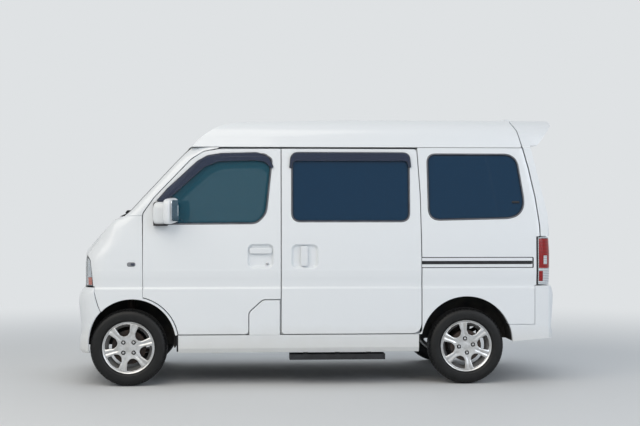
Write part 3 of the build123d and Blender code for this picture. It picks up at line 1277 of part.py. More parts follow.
def wheel_ring(section, x, y):
    """A ring round the axle: the section is carried along a many-sided path and mitred at its corners."""
    turn = 2 * pi / WHEEL_FACETS
    path_r = DROP_R
    angles = [turn * i for i in range(WHEEL_FACETS)]
    corners = [(x + path_r * cos(angle), TYRE_R + path_r * sin(angle)) for angle in angles]
    with BuildPart() as ring:
        with BuildLine(Plane.XZ.offset(-y)) as path:
            Polyline(*corners, close=True)
        side = path.edges().sort_by(Axis.X)[-1]
        foot_r = path_r * cos(turn / 2)
        away = (side @ 0.5) - Vector(x, y, TYRE_R)
        with BuildSketch(Plane(origin=side @ 0.5, x_dir=(0, 1, 0), z_dir=Vector(0, 1, 0).cross(away))):
            Polygon(*((w, r * cos(turn / 2) - foot_r) for w, r in section), align=None)
        sweep(path=path.wires()[0], transition=Transition.RIGHT)
    return ring.part


for x, place in ((FRONT_AXLE_X, "front"), (REAR_AXLE_X, "rear")):
    for direction, side in ((1, "left"), (-1, "right")):
        wheel_y = direction * HALF_TRACK
        with BuildPart() as tyre:
            add(wheel_ring(both_sides(tyre_half), x, wheel_y))
        save(tyre, f"tyre_{place}_{side}")
        face_y = sorted((direction * (HALF_TRACK + HUB_FACE), direction * (HALF_TRACK + HUB_FACE + HUB_T)))
        with BuildPart() as wheel:
            add(wheel_ring((*both_sides(rim_half), *reversed(both_sides(rim_bore))), x, wheel_y))
            with BuildSketch(Plane.XZ.offset(-face_y[1])):
                with Locations((x, TYRE_R)):
                    Circle(BEAD_R - HUB_LAP)
                    with PolarLocations(SPOKE_WINDOW["r"], SPOKES):
                        Trapezoid(
                            SPOKE_WINDOW["root"], SPOKE_WINDOW["angle"], SPOKE_WINDOW["height"], rotation=90,
                            mode=Mode.SUBTRACT,
                        )
            extrude(amount=HUB_T)
        save(wheel, f"wheel_{place}_{side}")

# Cab: dashboard, steering and seats
with BuildPart() as dashboard:
    add(side_prism(DASH, -DASH_HALF_W, DASH_HALF_W, DASH_CORNER))
save(dashboard, "dashboard")

column_dir = (-cos(radians(COLUMN_TILT)), 0.0, sin(radians(COLUMN_TILT)))
wheel_plane = Plane(origin=WHEEL_HUB, x_dir=(0, 1, 0), z_dir=column_dir)
with BuildPart() as steering_wheel:
    with BuildSketch(wheel_plane):
        Circle(WHEEL_R)
        Circle(WHEEL_R - WHEEL_RIM, mode=Mode.SUBTRACT)
        Rectangle(2 * WHEEL_R - WHEEL_RIM, WHEEL_BAR)
        Circle(WHEEL_BOSS_R)
    extrude(amount=WHEEL_T)
save(steering_wheel, "steering_wheel")
with BuildPart() as steering_column:
    with BuildSketch(wheel_plane.offset(-SEAT_GAP)):
        Circle(COLUMN_R)
    extrude(amount=-COLUMN_LENGTH)
    add(block(
        *COLUMN_CLAMP["x"], WHEEL_HUB[1] - COLUMN_CLAMP["half_w"], WHEEL_HUB[1] + COLUMN_CLAMP["half_w"],
        *COLUMN_CLAMP["z"],
    ))
    add(block(0.0, LENGTH, -WIDTH, WIDTH, 0.0, CAB_FLOOR_Z + SEAT_GAP), mode=Mode.SUBTRACT)
save(steering_column, "steering_column")

headrest_y = (SEAT_Y[0] + HEADREST["inset"], SEAT_Y[1] - HEADREST["inset"])


def cushion(x_pair, y_pair, z_pair):
    """A seat cushion with rounded front and rear edges."""
    (x_low, x_high), (z_low, z_high) = x_pair, z_pair
    outline = ((x_low, z_low), (x_high, z_low), (x_high, z_high), (x_low, z_high))
    return side_prism(outline, *y_pair, SEAT_CORNER)


with BuildPart() as front_seats:
    add(cushion(SEAT_X, SEAT_Y, (SEAT_BOX_Z + SEAT_GAP, SEAT_TOP_Z)))
    add(side_prism(SEAT_BACK, *SEAT_Y, SEAT_CORNER))
    add(cushion(HEADREST["x"], headrest_y, HEADREST["z"]))
    mirror(about=Plane.XZ)
save(front_seats, "front_seats")
rear_seat_y = (-REAR_SEAT_HALF_W, REAR_SEAT_HALF_W)
with BuildPart() as rear_seat:
    add(cushion(REAR_SEAT_X, rear_seat_y, (CARGO_FLOOR_Z + SEAT_GAP, REAR_SEAT_TOP_Z)))
    add(side_prism(REAR_BACK, *rear_seat_y, SEAT_CORNER))
save(rear_seat, "rear_seat")
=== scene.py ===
# %% [markdown]
# # A kei van in a pale studio
# The real thing is a small cab-over van: welded steel panels sprayed white, doors hung in their gaps, painted
# plastic bumpers, toughened glass and cast alloy wheels. Every shape here is a surface worked out with numpy.
# One smooth function describes the whole body, and each panel is a piece of it with a cut outline, because on
# the real van the pressed panels also share one surface. The frame gives the places, and holds everything else.

# %% Frame
import math
import bmesh
import bpy
import numpy as np
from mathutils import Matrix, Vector
from mathutils.geometry import delaunay_2d_cdt


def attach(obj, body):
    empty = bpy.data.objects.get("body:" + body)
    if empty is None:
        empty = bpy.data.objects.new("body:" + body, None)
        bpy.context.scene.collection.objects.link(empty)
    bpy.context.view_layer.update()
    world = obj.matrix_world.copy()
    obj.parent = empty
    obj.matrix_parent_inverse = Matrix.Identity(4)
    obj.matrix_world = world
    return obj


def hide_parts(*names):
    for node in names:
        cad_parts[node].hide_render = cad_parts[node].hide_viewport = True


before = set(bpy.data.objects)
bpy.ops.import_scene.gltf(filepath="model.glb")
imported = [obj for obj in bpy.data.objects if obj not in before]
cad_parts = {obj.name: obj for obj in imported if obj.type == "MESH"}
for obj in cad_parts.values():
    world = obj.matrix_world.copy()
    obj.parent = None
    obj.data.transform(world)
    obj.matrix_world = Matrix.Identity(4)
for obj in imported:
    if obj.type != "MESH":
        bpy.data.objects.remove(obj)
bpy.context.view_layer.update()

# %% [markdown]
# A photographer stands about nine metres from the van's left side with a short telephoto lens, a little ahead of
# its middle. The place and the lens were solved from the wheels: both stand on the ground, their size and their
# distance apart are known, and one looks a little larger than the other. Few other lenses give both sizes.

# %% Camera
camera_data = bpy.data.cameras.new("camera")
camera_data.sensor_width = 36.0
camera_data.lens = 68.78
camera = bpy.data.objects.new("camera", camera_data)
bpy.context.scene.collection.objects.link(camera)
CAMERA_YAW = 0.0581
camera.location = (0.4823, 9.2, 1.196)
looking = Vector((-math.sin(CAMERA_YAW), -math.cos(CAMERA_YAW), 0.0))
camera.rotation_euler = looking.to_track_quat("-Z", "Y").to_euler()
bpy.context.scene.camera = camera

# %% [markdown]
# A material is a small graph of nodes. Each node is added by one helper, which sets its values and plugs its
# inputs, so that a material below reads as a recipe. Colours are written as hex values as a paint chart gives
# them, and one function turns them to the linear numbers that light is added up in.

# %% Materials: two helpers
def linear(hex_colour):
    """A hex colour as linear RGBA: each channel c over 255 becomes ((c + 0.055) / 1.055) to the power 2.4."""
    channels = np.array([int(hex_colour[i:i + 2], 16) / 255 for i in (1, 3, 5)])
    low, high = channels / 12.92, ((channels + 0.055) / 1.055) ** 2.4
    return (*np.where(channels <= 0.04045, low, high), 1.0)


def node(tree, kind, settings=None, **links):
    """Adds one node. Settings name attributes or sockets; links name sockets and give what feeds them."""
    made = tree.nodes.new(kind)
    for name, value in (settings or {}).items():
        if hasattr(made, name):
            setattr(made, name, value)
        else:
            made.inputs[int(name[1:]) if name[1:].isdigit() else name].default_value = value
    for name, source in links.items():
        socket = made.inputs[int(name[1:])] if name[1:].isdigit() else made.inputs[name.replace("_", " ")]
        tree.links.new(source, socket)
    return made


def material(name, **shader):
    """A new material with its Principled shader set. Returns the material, its tree and the shader."""
    made = bpy.data.materials.new(name)
    made.use_nodes = True
    tree = made.node_tree
    principled = tree.nodes["Principled BSDF"]
    for socket, value in shader.items():
        principled.inputs[socket.replace("_", " ")].default_value = value
    return made, tree, principled

# %% [markdown]
# ## One form for the whole body
# A press shop makes the outer panels so that highlights run on from one to the next. A model gets the same result
# if all its panels are cut from one form. The form is given as a function that is negative inside and positive
# outside: the side, the roof, the nose and the tail are four such functions, and they are joined with a rounded
# edge, as a modeller rounds clay with a spoon. Millimetres are used up to the moment a mesh is written.

# %% Curves of the form
HALF_WIDTH, HEIGHT = 737.5, 1872.0
FRONT_END, REAR_END = 1697.5, -1697.5
NOSE_X, TAIL_X = 1652.0, -1676.0
FRONT_BOW_R, REAR_BOW_R = 5300.0, 6000.0
SIDE_CURVE = np.array([                     # height, half width
    (100, 735.5), (352, 737.0), (640, 737.5), (668, 737.5), (674, 736.4), (684, 730.3), (690, 729.5),
    (725, 731.6), (760, 735.2), (797, 736.9), (805, 736.2), (860, 734.8), (1000, 730.0), (1120, 722.5), (1300, 710.8),
    (1500, 696.8), (1648, 686.4), (1655, 685.6), (1660, 678.0), (1663, 672.4), (1672, 671.2), (1900, 632.0),
])
NOSE_CURVE = np.array([                     # height, station on the centre plane
    (100, 1652), (840, 1652), (870, 1649), (897, 1640), (925, 1625), (960, 1601), (1100, 1499), (1125, 1479),
    (1142, 1460), (1160, 1424), (1178, 1385), (1192, 1364), (1300, 1261), (1450, 1121), (1550, 1028),
    (1640, 938), (1700, 868), (1750, 792), (1790, 708), (1815, 621), (1831, 520), (1840, 380), (1848, 180),
    (1858, -150), (1867, -450), (1874, -800),
])
TAIL_CURVE = np.array([                     # height, station on the centre plane
    (100, -1660), (600, -1667), (800, -1674.5), (900, -1675.5), (1000, -1670), (1190, -1654), (1400, -1604),
    (1600, -1555), (1690, -1531), (1900, -1480),
])


def smooth_curve(table, count=900):
    """A dense monotone cubic through a table: between two rows the slope at each end is the harmonic mean of
    its neighbours' slopes, so it never overshoots."""
    x, y = table.T.astype(float)
    step = np.diff(x)
    slope = np.diff(y) / step
    tangent = np.zeros(len(x))
    same = slope[1:] * slope[:-1] > 0
    inner = np.zeros(len(x) - 2)
    inner[same] = 2 * slope[1:][same] * slope[:-1][same] / (slope[1:] + slope[:-1])[same]
    tangent[1:-1], tangent[0], tangent[-1] = inner, slope[0], slope[-1]
    at = np.linspace(x[0], x[-1], count)
    row = np.clip(np.searchsorted(x, at) - 1, 0, len(x) - 2)
    t = (at - x[row]) / step[row]
    value = ((1 + 2 * t) * (1 - t) ** 2 * y[row] + t * (1 - t) ** 2 * step[row] * tangent[row]
             + t * t * (3 - 2 * t) * y[row + 1] + t * t * (t - 1) * step[row] * tangent[row + 1])
    return at, value


SIDE, NOSE, TAIL = smooth_curve(SIDE_CURVE), smooth_curve(NOSE_CURVE), smooth_curve(TAIL_CURVE)
nose_order = np.argsort(NOSE[1])
ROOF_LINE = NOSE[1][nose_order], NOSE[0][nose_order]
print("side from", SIDE[1].max().round(1), "to", SIDE[1].min().round(1), "mm half width")


# %% [markdown]
# A rounded edge between two forms could be cut as a fillet. Here it is part of the function: inside a band one
# radius wide the two distances are joined as the legs of a right angle, so that the edge is round by itself. The
# normal is the function's slope, taken over a short step each way.

# %% The form and its normals
def rounded(first, second, radius):
    """Two forms' common inside with its edge rounded: minus r plus the length of (a + r, b + r) where both
    are above minus r, and elsewhere the larger of the two."""
    a, b = np.maximum(first + radius, 0.0), np.maximum(second + radius, 0.0)
    return np.minimum(-radius, np.maximum(first, second)) + np.hypot(a, b)


def ramp(value, low, high):
    """0 below low, 1 above high, and 3 t squared minus 2 t cubed between."""
    t = np.clip((value - low) / (high - low), 0.0, 1.0)
    return t * t * (3 - 2 * t)


def body_form(p):
    """Signed distance to the body, about: side section, crowned roof, and nose and tail turned round the
    centres of their bows."""
    x, y, z = p[..., 0], p[..., 1], p[..., 2]
    side = np.abs(y) - np.interp(z, *SIDE)
    crown = z - (HEIGHT - y * y / 17090.0)
    bow_x = NOSE_X - FRONT_BOW_R
    turned = bow_x + np.hypot(x - bow_x, y)
    over_x = turned - np.interp(z, *NOSE, right=-9000.0)
    over_z = z - np.interp(turned, *ROOF_LINE, right=-9000.0)
    nose = over_x * np.abs(over_z) / np.maximum(np.hypot(over_x, over_z), 1e-6)
    top = 0.5 * (crown + nose + np.sqrt((crown - nose) ** 2 + 64.0))
    radius = 120.0 - 72.0 * ramp(z, 980.0, 1200.0) + 85.0 * ramp(z, 1560.0, 1700.0)
    bow_x = TAIL_X + REAR_BOW_R
    tail = (np.interp(z, *TAIL) - (bow_x - np.hypot(x - bow_x, y))) * 0.98
    return rounded(rounded(side, top, radius), tail, 80.0)


FRONT_BUMPER = np.array([(215, 1672), (229, 1675), (251, 1692.5), (300, 1691), (332, 1688), (356, 1681), (370, 1680),
                         (432, 1682), (520, 1692), (590, 1696.5), (640, 1688), (668, 1668), (690, 1646), (700, 1640)])
REAR_BUMPER = np.array([(215, -1683), (300, -1690), (356, -1691.5), (400, -1679), (430, -1679), (520, -1688),
                        (620, -1696.5), (665, -1688), (690, -1675), (700, -1673)])
FRONT_LINE, REAR_LINE = smooth_curve(FRONT_BUMPER), smooth_curve(REAR_BUMPER)


def bumper_form(p):
    """The two bumpers' form: upright sides, and profiles turned round the centres of the bows."""
    x, y, z = p[..., 0], p[..., 1], p[..., 2]
    side = np.abs(y) - (HALF_WIDTH - 0.5)
    front_bow, rear_bow = FRONT_END - FRONT_BOW_R, REAR_END + REAR_BOW_R
    front = front_bow + np.hypot(x - front_bow, y) - np.interp(z, *FRONT_LINE)
    rear = np.interp(z, *REAR_LINE) - (rear_bow - np.hypot(x - rear_bow, y))
    return rounded(rounded(side, front, 120.0), rear, 80.0)


def normals_of(form, p):
    """Unit normals from central differences of the form, 1 mm each way."""
    steps = np.eye(3)
    slope = np.stack([form(p + step) - form(p - step) for step in steps], axis=-1)
    return slope / np.maximum(np.linalg.norm(slope, axis=-1, keepdims=True), 1e-9)


# %% [markdown]
# A flat plan of a curved shell is called a chart. The wrap chart here unrolls the body: its first number runs
# along a belt round the van from the middle of the nose, round the corner, along the side and round the tail,
# and its second number is the height. A point of the chart becomes a ray from inside, and the form is found
# along the ray by stepping as far as the form says is safe.

# %% Charts
CORNER_R = {"front": 130.0, "rear": 90.0}


def belt(z):
    """The inner belt's corners at each height: front station, rear station and half width."""
    front = np.interp(z, *NOSE) - 36.0 - CORNER_R["front"]
    rear = np.interp(z, *TAIL) + 32.0 + CORNER_R["rear"]
    return np.minimum(front, NOSE_X - 166.0), rear, np.interp(z, *SIDE) - CORNER_R["front"]


def wrap_rays(b, z, end="front"):
    """Ray starts and directions for chart points. b counts from the centre line of the given end."""
    front, rear, half = belt(z)
    sign = 1.0 if end == "front" else -1.0
    near, far = (front, rear) if end == "front" else (-rear, -front)
    quarter = math.pi / 2
    t = np.abs(b)
    turn_1 = half + CORNER_R["front"] * quarter
    turn_2 = turn_1 + near - far
    angle = np.clip((t - half) / CORNER_R["front"], 0.0, quarter)
    angle_2 = np.clip((t - turn_2) / CORNER_R["front"], 0.0, quarter)
    start_x = near - np.clip(t - turn_1, 0.0, near - far)
    past = np.maximum(t - turn_2 - CORNER_R["front"] * quarter, 0.0)
    start_y = np.minimum(t, half) - past
    side = np.where(b < 0, -1.0, 1.0)
    start = np.stack([sign * start_x, side * start_y, z], axis=-1)
    ray = np.stack([sign * np.cos(angle + angle_2), side * np.sin(angle + angle_2), 0.0 * z], axis=-1)
    return start, ray


def wrap_chart(p, end="front"):
    """Chart numbers of points in space: the reverse of wrap_rays."""
    x, y, z = p[..., 0], np.abs(p[..., 1]), p[..., 2]
    front, rear, half = belt(z)
    near, far = (front, rear) if end == "front" else (-rear, -front)
    x = x if end == "front" else -x
    quarter = math.pi / 2
    turn_1 = half + CORNER_R["front"] * quarter
    turn_2 = turn_1 + near - far
    angle = np.arctan2(np.maximum(y - half, 0.0), np.maximum(x - near, 1e-6))
    angle_2 = np.arctan2(np.maximum(far - x, 0.0), np.maximum(y - half, 1e-6))
    t = np.where(x > near, np.where(y > half, half + CORNER_R["front"] * angle, y),
                 np.where(x > far, turn_1 + near - x, turn_2 + CORNER_R["front"] * angle_2))
    return np.stack([np.where(p[..., 1] < 0, -t, t), z], axis=-1)


def plain_rays(direction):
    """A chart seen straight along an axis: side views give (x, z), front and rear views give (y, z)."""
    def rays(a, z, end=None):
        zero = 0.0 * z
        if direction == "left":
            return np.stack([a, zero + 250.0, z], -1), np.stack([zero, zero + 1.0, zero], -1)
        start = np.stack([zero + (600.0 if direction == "front" else -1000.0), a, z], -1)
        return start, np.stack([zero + (1.0 if direction == "front" else -1.0), zero, zero], -1)
    return rays


def wrap_front(b, z):
    return wrap_rays(b, z, "front")


def wrap_rear(b, z):
    return wrap_rays(b, z, "rear")


SIDE_VIEW, FRONT_VIEW, REAR_VIEW = plain_rays("left"), plain_rays("front"), plain_rays("rear")


def on_form(form, rays, ab):
    """Points of the form along each ray: 60 steps of nine tenths of the signed distance."""
    start, ray = rays(ab[:, 0], ab[:, 1])
    reach = np.zeros(len(ab))
    for _ in range(60):
        reach -= 0.9 * form(start + reach[:, None] * ray)
    return start + reach[:, None] * ray

# %% [markdown]
# A pressed panel has a smooth face, an edge folded over a small radius and a return behind it. The panel maker
# takes an outline in a chart, fills it with triangles no wider than the spacing, lays them on the form, rolls
# the border over and closes the back. Normals come from the surface itself and not from its triangles, so that
# a highlight stays even on gloss paint.

# %% Meshes
def write_mesh(name, points_mm, faces, corner_normals=None, face_slots=None):
    """A mesh object at the origin from millimetre points. Faces are smooth, with normals of their own if given."""
    mesh = bpy.data.meshes.new(name)
    mesh.from_pydata((np.asarray(points_mm) * 0.001).tolist(), [], [list(map(int, f)) for f in faces])
    mesh.polygons.foreach_set("use_smooth", [True] * len(mesh.polygons))
    if face_slots is not None:
        mesh.polygons.foreach_set("material_index", np.asarray(face_slots, np.int32))
    mesh.update()
    if corner_normals is not None:
        mesh.normals_split_custom_set(corner_normals.tolist())
    made = bpy.data.objects.new(name, mesh)
    bpy.context.scene.collection.objects.link(made)
    return made


def place(made, body, slot, *materials, replaces=()):
    """Gives a piece its materials, the body it rides on and the nodes it stands for; its slot is not used."""
    for finish in materials:
        made.data.materials.append(finish)
    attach(made, body)
    if replaces:
        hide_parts(*replaces)
    return made


def curve_outline(rows, spacing=14.0):
    """A closed outline from rows of (a, b, corner radius): straight runs joined by arcs tangent to both."""
    corners = np.array([row[:2] for row in rows], float)
    radii = [row[2] if len(row) > 2 else 0.0 for row in rows]
    points = []
    for index, corner in enumerate(corners):
        before, after = corners[index - 1] - corner, corners[(index + 1) % len(corners)] - corner
        room = min(np.linalg.norm(before), np.linalg.norm(after)) * 0.49
        before, after = before / np.linalg.norm(before), after / np.linalg.norm(after)
        half = 0.5 * math.acos(np.clip(before @ after, -1, 1))
        if radii[index] <= 0 or half > 1.55:
            points.append(corner[None])
            continue
        back = min(radii[index] / math.tan(half), room)
        t = np.linspace(0, 1, max(5, int(back / 6)))[:, None]
        points.append(corner + before * back * (1 - t) ** 2 + after * back * t ** 2)
    return even(np.concatenate(points), spacing)


def even(outline, spacing):
    """The same closed outline with every run longer than the spacing divided evenly."""
    following = np.roll(outline, -1, axis=0)
    counts = np.maximum(np.ceil(np.linalg.norm(following - outline, axis=1) / spacing).astype(int), 1)
    at = np.repeat(np.arange(len(outline)), counts)
    share = (np.arange(len(at)) - np.repeat(np.cumsum(counts) - counts, counts)) / np.repeat(counts, counts)
    return outline[at] * (1 - share[:, None]) + following[at] * share[:, None]


def area_of(outline):
    x, y = outline.T
    return 0.5 * np.sum(x * np.roll(y, -1) - np.roll(x, -1) * y)


def outward(outline):
    """Unit normals of a counter-clockwise outline's corners, longer where the corner is sharp, up to 1.5."""
    ahead = np.roll(outline, -1, 0) - outline
    ahead /= np.maximum(np.linalg.norm(ahead, axis=1, keepdims=True), 1e-9)
    normal = np.stack([ahead[:, 1], -ahead[:, 0]], 1)
    both = normal + np.roll(normal, 1, 0)
    both /= np.maximum(np.linalg.norm(both, axis=1, keepdims=True), 1e-9)
    return both * np.minimum(1 / np.maximum(np.sum(both * normal, 1), 0.3), 1.5)[:, None]


def inside(outline, points):
    """Even-odd test of many points against a closed outline."""
    a, b = outline, np.roll(outline, -1, 0)
    x, y = points[:, 0, None], points[:, 1, None]
    spans = (a[:, 1] > y) != (b[:, 1] > y)
    rise = np.where(np.abs(b[:, 1] - a[:, 1]) < 1e-12, 1e-12, b[:, 1] - a[:, 1])
    crossing = a[:, 0] + (y - a[:, 1]) * (b[:, 0] - a[:, 0]) / rise
    return np.sum(spans & (x < crossing), axis=1) % 2 == 1


def fill(loops, spacing, rows=(), fine=()):
    """Triangles inside the first loop and outside the others, on a grid with extra rows and fine patches."""
    border = np.concatenate(loops)
    (a_low, b_low), (a_high, b_high) = loops[0].min(0), loops[0].max(0)
    levels = np.unique(np.concatenate([np.arange(b_low, b_high, spacing), [r for r in rows if b_low < r < b_high]]))
    across = np.arange(a_low + 0.37 * spacing, a_high, spacing)
    seeds = [np.stack(np.meshgrid(across, levels), -1).reshape(-1, 2)]
    for (a0, b0, a1, b1), step in fine:
        seeds.append(np.stack(np.meshgrid(np.arange(a0, a1, step), np.arange(b0, b1, step)), -1).reshape(-1, 2))
    seeds = np.concatenate(seeds)
    keep = inside(loops[0], seeds)
    for loop in loops[1:]:
        keep &= ~inside(loop, seeds)
    seeds = seeds[keep]
    near = np.concatenate([np.min(np.linalg.norm(part[:, None] - border[None], axis=2), axis=1)
                           for part in np.array_split(seeds, max(1, len(seeds) // 800))]) if len(seeds) else []
    seeds = seeds[np.asarray(near) > 0.35 * spacing] if len(seeds) else seeds
    points = np.concatenate([border, seeds])
    edges, start = [], 0
    for loop in loops:
        n = len(loop)
        edges += [(start + i, start + (i + 1) % n) for i in range(n)]
        start += n
    found = delaunay_2d_cdt([Vector(p) for p in points.tolist()], edges, [], 0, 1e-6)
    flat = np.array([tuple(v) for v in found[0]])
    origin = np.array([ids[0] if ids else -1 for ids in found[3]])
    triangles = np.array([f for f in found[2] if len(f) == 3])
    middle = flat[triangles].mean(axis=1)
    keep = inside(loops[0], middle)
    for loop in loops[1:]:
        keep &= ~inside(loop, middle)
    triangles = triangles[keep]
    order = np.full(len(points), -1)
    order[origin[origin >= 0]] = np.nonzero(origin >= 0)[0]
    return flat, triangles, order


def panel(name, outline, holes=(), form=body_form, rays=wrap_front, thick=20.0, roll=2.5, spacing=16.0,
          rows=(), fine=(), relief=None, lift=0.0, back=True):
    """A pressed panel. Point = form point + normal times (relief - depth); the border turns a quarter circle of
    the roll radius and runs back to the thickness."""
    loops = [o if area_of(o) > 0 else o[::-1] for o in (outline, *holes)]
    way = [outward(o) * (1 if k == 0 else -1) for k, o in enumerate(loops)]
    inner = [o - w * roll for o, w in zip(loops, way)]
    flat, triangles, order = fill(inner, spacing, rows, fine)
    turned = area_of(flat[triangles[0]]) < 0
    if turned:
        triangles = triangles[:, ::-1]

    def at(ab, depth):
        base = on_form(form, rays, ab)
        height = lift - depth + (relief(ab, base) if relief else 0.0)
        return base + normals_of(form, base) * np.broadcast_to(height, len(ab))[:, None]

    def slope(ab):
        along = at(ab + (0.7, 0), 0.0) - at(ab - (0.7, 0), 0.0)
        up = at(ab + (0, 0.7), 0.0) - at(ab - (0, 0.7), 0.0)
        n = np.cross(along, up)
        n /= np.linalg.norm(n, axis=1, keepdims=True)
        outside = normals_of(form, on_form(form, rays, ab))
        return n * np.sign(np.sum(n * outside, 1, keepdims=True))

    face = at(flat, 0.0)
    face_normal = slope(flat)
    corner = face[triangles]
    facing = np.cross(corner[:, 1] - corner[:, 0], corner[:, 2] - corner[:, 0])
    flip = np.sum(facing * face_normal[triangles[:, 0]]) < 0
    if flip:
        triangles = triangles[:, ::-1]
    points, normals = [face], [face_normal]
    faces, corners, slots = [triangles], [face_normal[triangles]], [np.zeros(len(triangles), int)]
    count, first = len(face), 0
    back_flat = flat.copy()
    rims = []
    for loop, direction, base in zip(loops, way, inner):
        n = len(loop)
        ids = order[first:first + n]
        first += n
        back_flat[ids] = loop
        aside = at(base + direction * 1.0, 0.0) - at(base - direction * 1.0, 0.0)
        aside /= np.linalg.norm(aside, axis=1, keepdims=True)
        up = face_normal[ids]
        rings, ring_normals = [ids], [up]
        for angle in (0.52, 1.05, math.pi / 2):
            points.append(at(base + direction * roll * math.sin(angle), roll * (1 - math.cos(angle))))
            rings.append(np.arange(count, count + n))
            ring_normals.append(up * math.cos(angle) + aside * math.sin(angle))
            count += n
        rims.append((ids, rings, ring_normals, aside))
    if back:
        points.append(at(back_flat, thick))
        behind = np.arange(count, count + len(flat))
        count += len(flat)
        faces.append(behind[triangles[:, ::-1]])
        corners.append(-face_normal[triangles[:, ::-1]])
        slots.append(np.ones(len(triangles), int))
    for (ids, rings, ring_normals, aside), loop in zip(rims, loops):
        if back:
            last = behind[ids]
        else:
            points.append(at(loop, thick))
            last = np.arange(count, count + len(loop))
            count += len(loop)
        rings.append(last)
        ring_normals.append(aside)
        for k in range(len(rings) - 1):
            a, b = rings[k], rings[k + 1]
            quad = np.stack([a, np.roll(a, -1), np.roll(b, -1), b], 1)
            na, nb = ring_normals[k], ring_normals[k + 1]
            if k == len(rings) - 2:
                na = nb = aside
            normal = np.stack([na, np.roll(na, -1, 0), np.roll(nb, -1, 0), nb], 1)
            faces.append(quad)
            corners.append(normal)
            slots.append(np.full(len(quad), 0))
    points = np.concatenate(points)
    all_faces, all_normals = [], []
    for group, normal in zip(faces, corners):
        if group.shape[1] == 4:
            c = points[group]
            facing = np.cross(c[:, 2] - c[:, 0], c[:, 3] - c[:, 1])
            if np.sum(facing * normal.mean(1)) < 0:
                group, normal = group[:, ::-1], normal[:, ::-1]
        all_faces += group.tolist()
        all_normals.append(normal.reshape(-1, 3))
    return write_mesh(name, points, all_faces, np.concatenate(all_normals), np.concatenate(slots))


def twin(made, name):
    """The same piece on the van's right: y changes sign, and each face turns round so that it still points out."""
    mesh = made.data
    points = np.empty(len(mesh.vertices) * 3)
    mesh.vertices.foreach_get("co", points)
    points = points.reshape(-1, 3) * (1, -1, 1)
    normals = np.empty(len(mesh.loops) * 3)
    mesh.corner_normals.foreach_get("vector", normals)
    normals = normals.reshape(-1, 3) * (1, -1, 1)
    faces = [tuple(p.vertices)[::-1] for p in mesh.polygons]
    starts = [(p.loop_start, p.loop_total) for p in mesh.polygons]
    order = np.concatenate([np.arange(s + n - 1, s - 1, -1) for s, n in starts])
    slots = np.empty(len(mesh.polygons), np.int32)
    mesh.polygons.foreach_get("material_index", slots)
    return write_mesh(name, points * 1000, faces, normals[order], slots)

# %% [markdown]
# White enamel on a steel van is colour under clear lacquer: almost even, with a faint ripple from the spray gun that
# softens reflections. So it is a Principled shader with a coat, a low bump and a colour that turns warmer and duller
# towards the sills. Painted plastic gets the same recipe with less sheen.

# %% Paint
def noise(tree, scale, detail=3.0, roughness=0.5, offset=(0.0, 0.0, 0.0), stretch=(1.0, 1.0, 1.0)):
    """Noise on object coordinates. The scale is in waves per metre."""
    place_node = node(tree, "ShaderNodeTexCoord")
    mapping = node(tree, "ShaderNodeMapping", {"Location": offset, "Scale": stretch},
                   Vector=place_node.outputs["Object"])
    return node(tree, "ShaderNodeTexNoise", {"Scale": scale, "Detail": detail, "Roughness": roughness},
                Vector=mapping.outputs["Vector"]).outputs["Fac"]


def blend_colour(tree, share, low, high):
    """A colour ramp of two stops, given as (position, hex)."""
    made = node(tree, "ShaderNodeValToRGB", {}, Fac=share)
    for stop, (position, colour) in zip(made.color_ramp.elements, (low, high)):
        stop.position, stop.color = position, linear(colour)
    return made.outputs["Color"]


def bump(tree, shader, height, strength, distance):
    """Feeds a height into the shader's normal. The distance is in metres."""
    made = node(tree, "ShaderNodeBump", {"Strength": strength, "Distance": distance}, Height=height)
    tree.links.new(made.outputs["Normal"], shader.inputs["Normal"])


def height_share(tree, low, high):
    """0 below one height and 1 above another, in metres over the ground."""
    place_node = node(tree, "ShaderNodeTexCoord")
    split = node(tree, "ShaderNodeSeparateXYZ", {}, Vector=place_node.outputs["Object"])
    return node(tree, "ShaderNodeMapRange", {"From Min": low, "From Max": high, "interpolation_type": "SMOOTHSTEP"},
                Value=split.outputs["Z"]).outputs["Result"]


def painted(name, upper_colour, low_colour, coat, roughness):
    """Sprayed enamel: darker and warmer towards the bottom, in soft patches, and 0.15 mm of ripple about 9 mm apart.
    """
    made, tree, shader = material(name, Roughness=roughness, Coat_Weight=coat, Coat_Roughness=0.06, IOR=1.5)
    patches = noise(tree, 7.0, 5.0, 0.6)
    level = height_share(tree, 0.18, 0.62)
    total = node(tree, "ShaderNodeMath", {"operation": "MULTIPLY_ADD", "use_clamp": True, "_1": 0.35},
                 _0=patches, _2=level)
    colour = blend_colour(tree, total.outputs[0], (0.12, low_colour), (0.75, upper_colour))
    tree.links.new(colour, shader.inputs["Base Color"])
    bump(tree, shader, noise(tree, 110.0, 2.0), 0.05, 0.00015)
    return made


# A cold white with a deep gloss.
body_white = painted("enamel_white_sprayed", "#e9edf0", "#dcdddb", 0.6, 0.28)
# The same colour on plastic, with less gloss.
bumper_white = painted("enamel_white_on_plastic", "#e6eaed", "#d8d9d7", 0.45, 0.34)
print("paint:", body_white.name, bumper_white.name)

# %% [markdown]
# Trim on a small van is black: moulded rubber round the glass, grained plastic at the cowl and the step. Rubber
# is a little softer in its shine than the plastic. Inside, the panels are lined with light grey vinyl-faced board.

# %% Trim materials
def grained(name, colour, worn, roughness, grain_mm, depth_mm):
    """Moulded plastic: a cell pattern of the grain's size for height, and slow noise between two shades."""
    made, tree, shader = material(name, Roughness=roughness, IOR=1.46)
    shade = blend_colour(tree, noise(tree, 14.0, 4.0), (0.35, colour), (0.7, worn))
    tree.links.new(shade, shader.inputs["Base Color"])
    place_node = node(tree, "ShaderNodeTexCoord")
    cells = node(tree, "ShaderNodeTexVoronoi", {"Scale": 1000.0 / grain_mm}, Vector=place_node.outputs["Object"])
    bump(tree, shader, cells.outputs["Distance"], 0.5, depth_mm * 0.001)
    return made


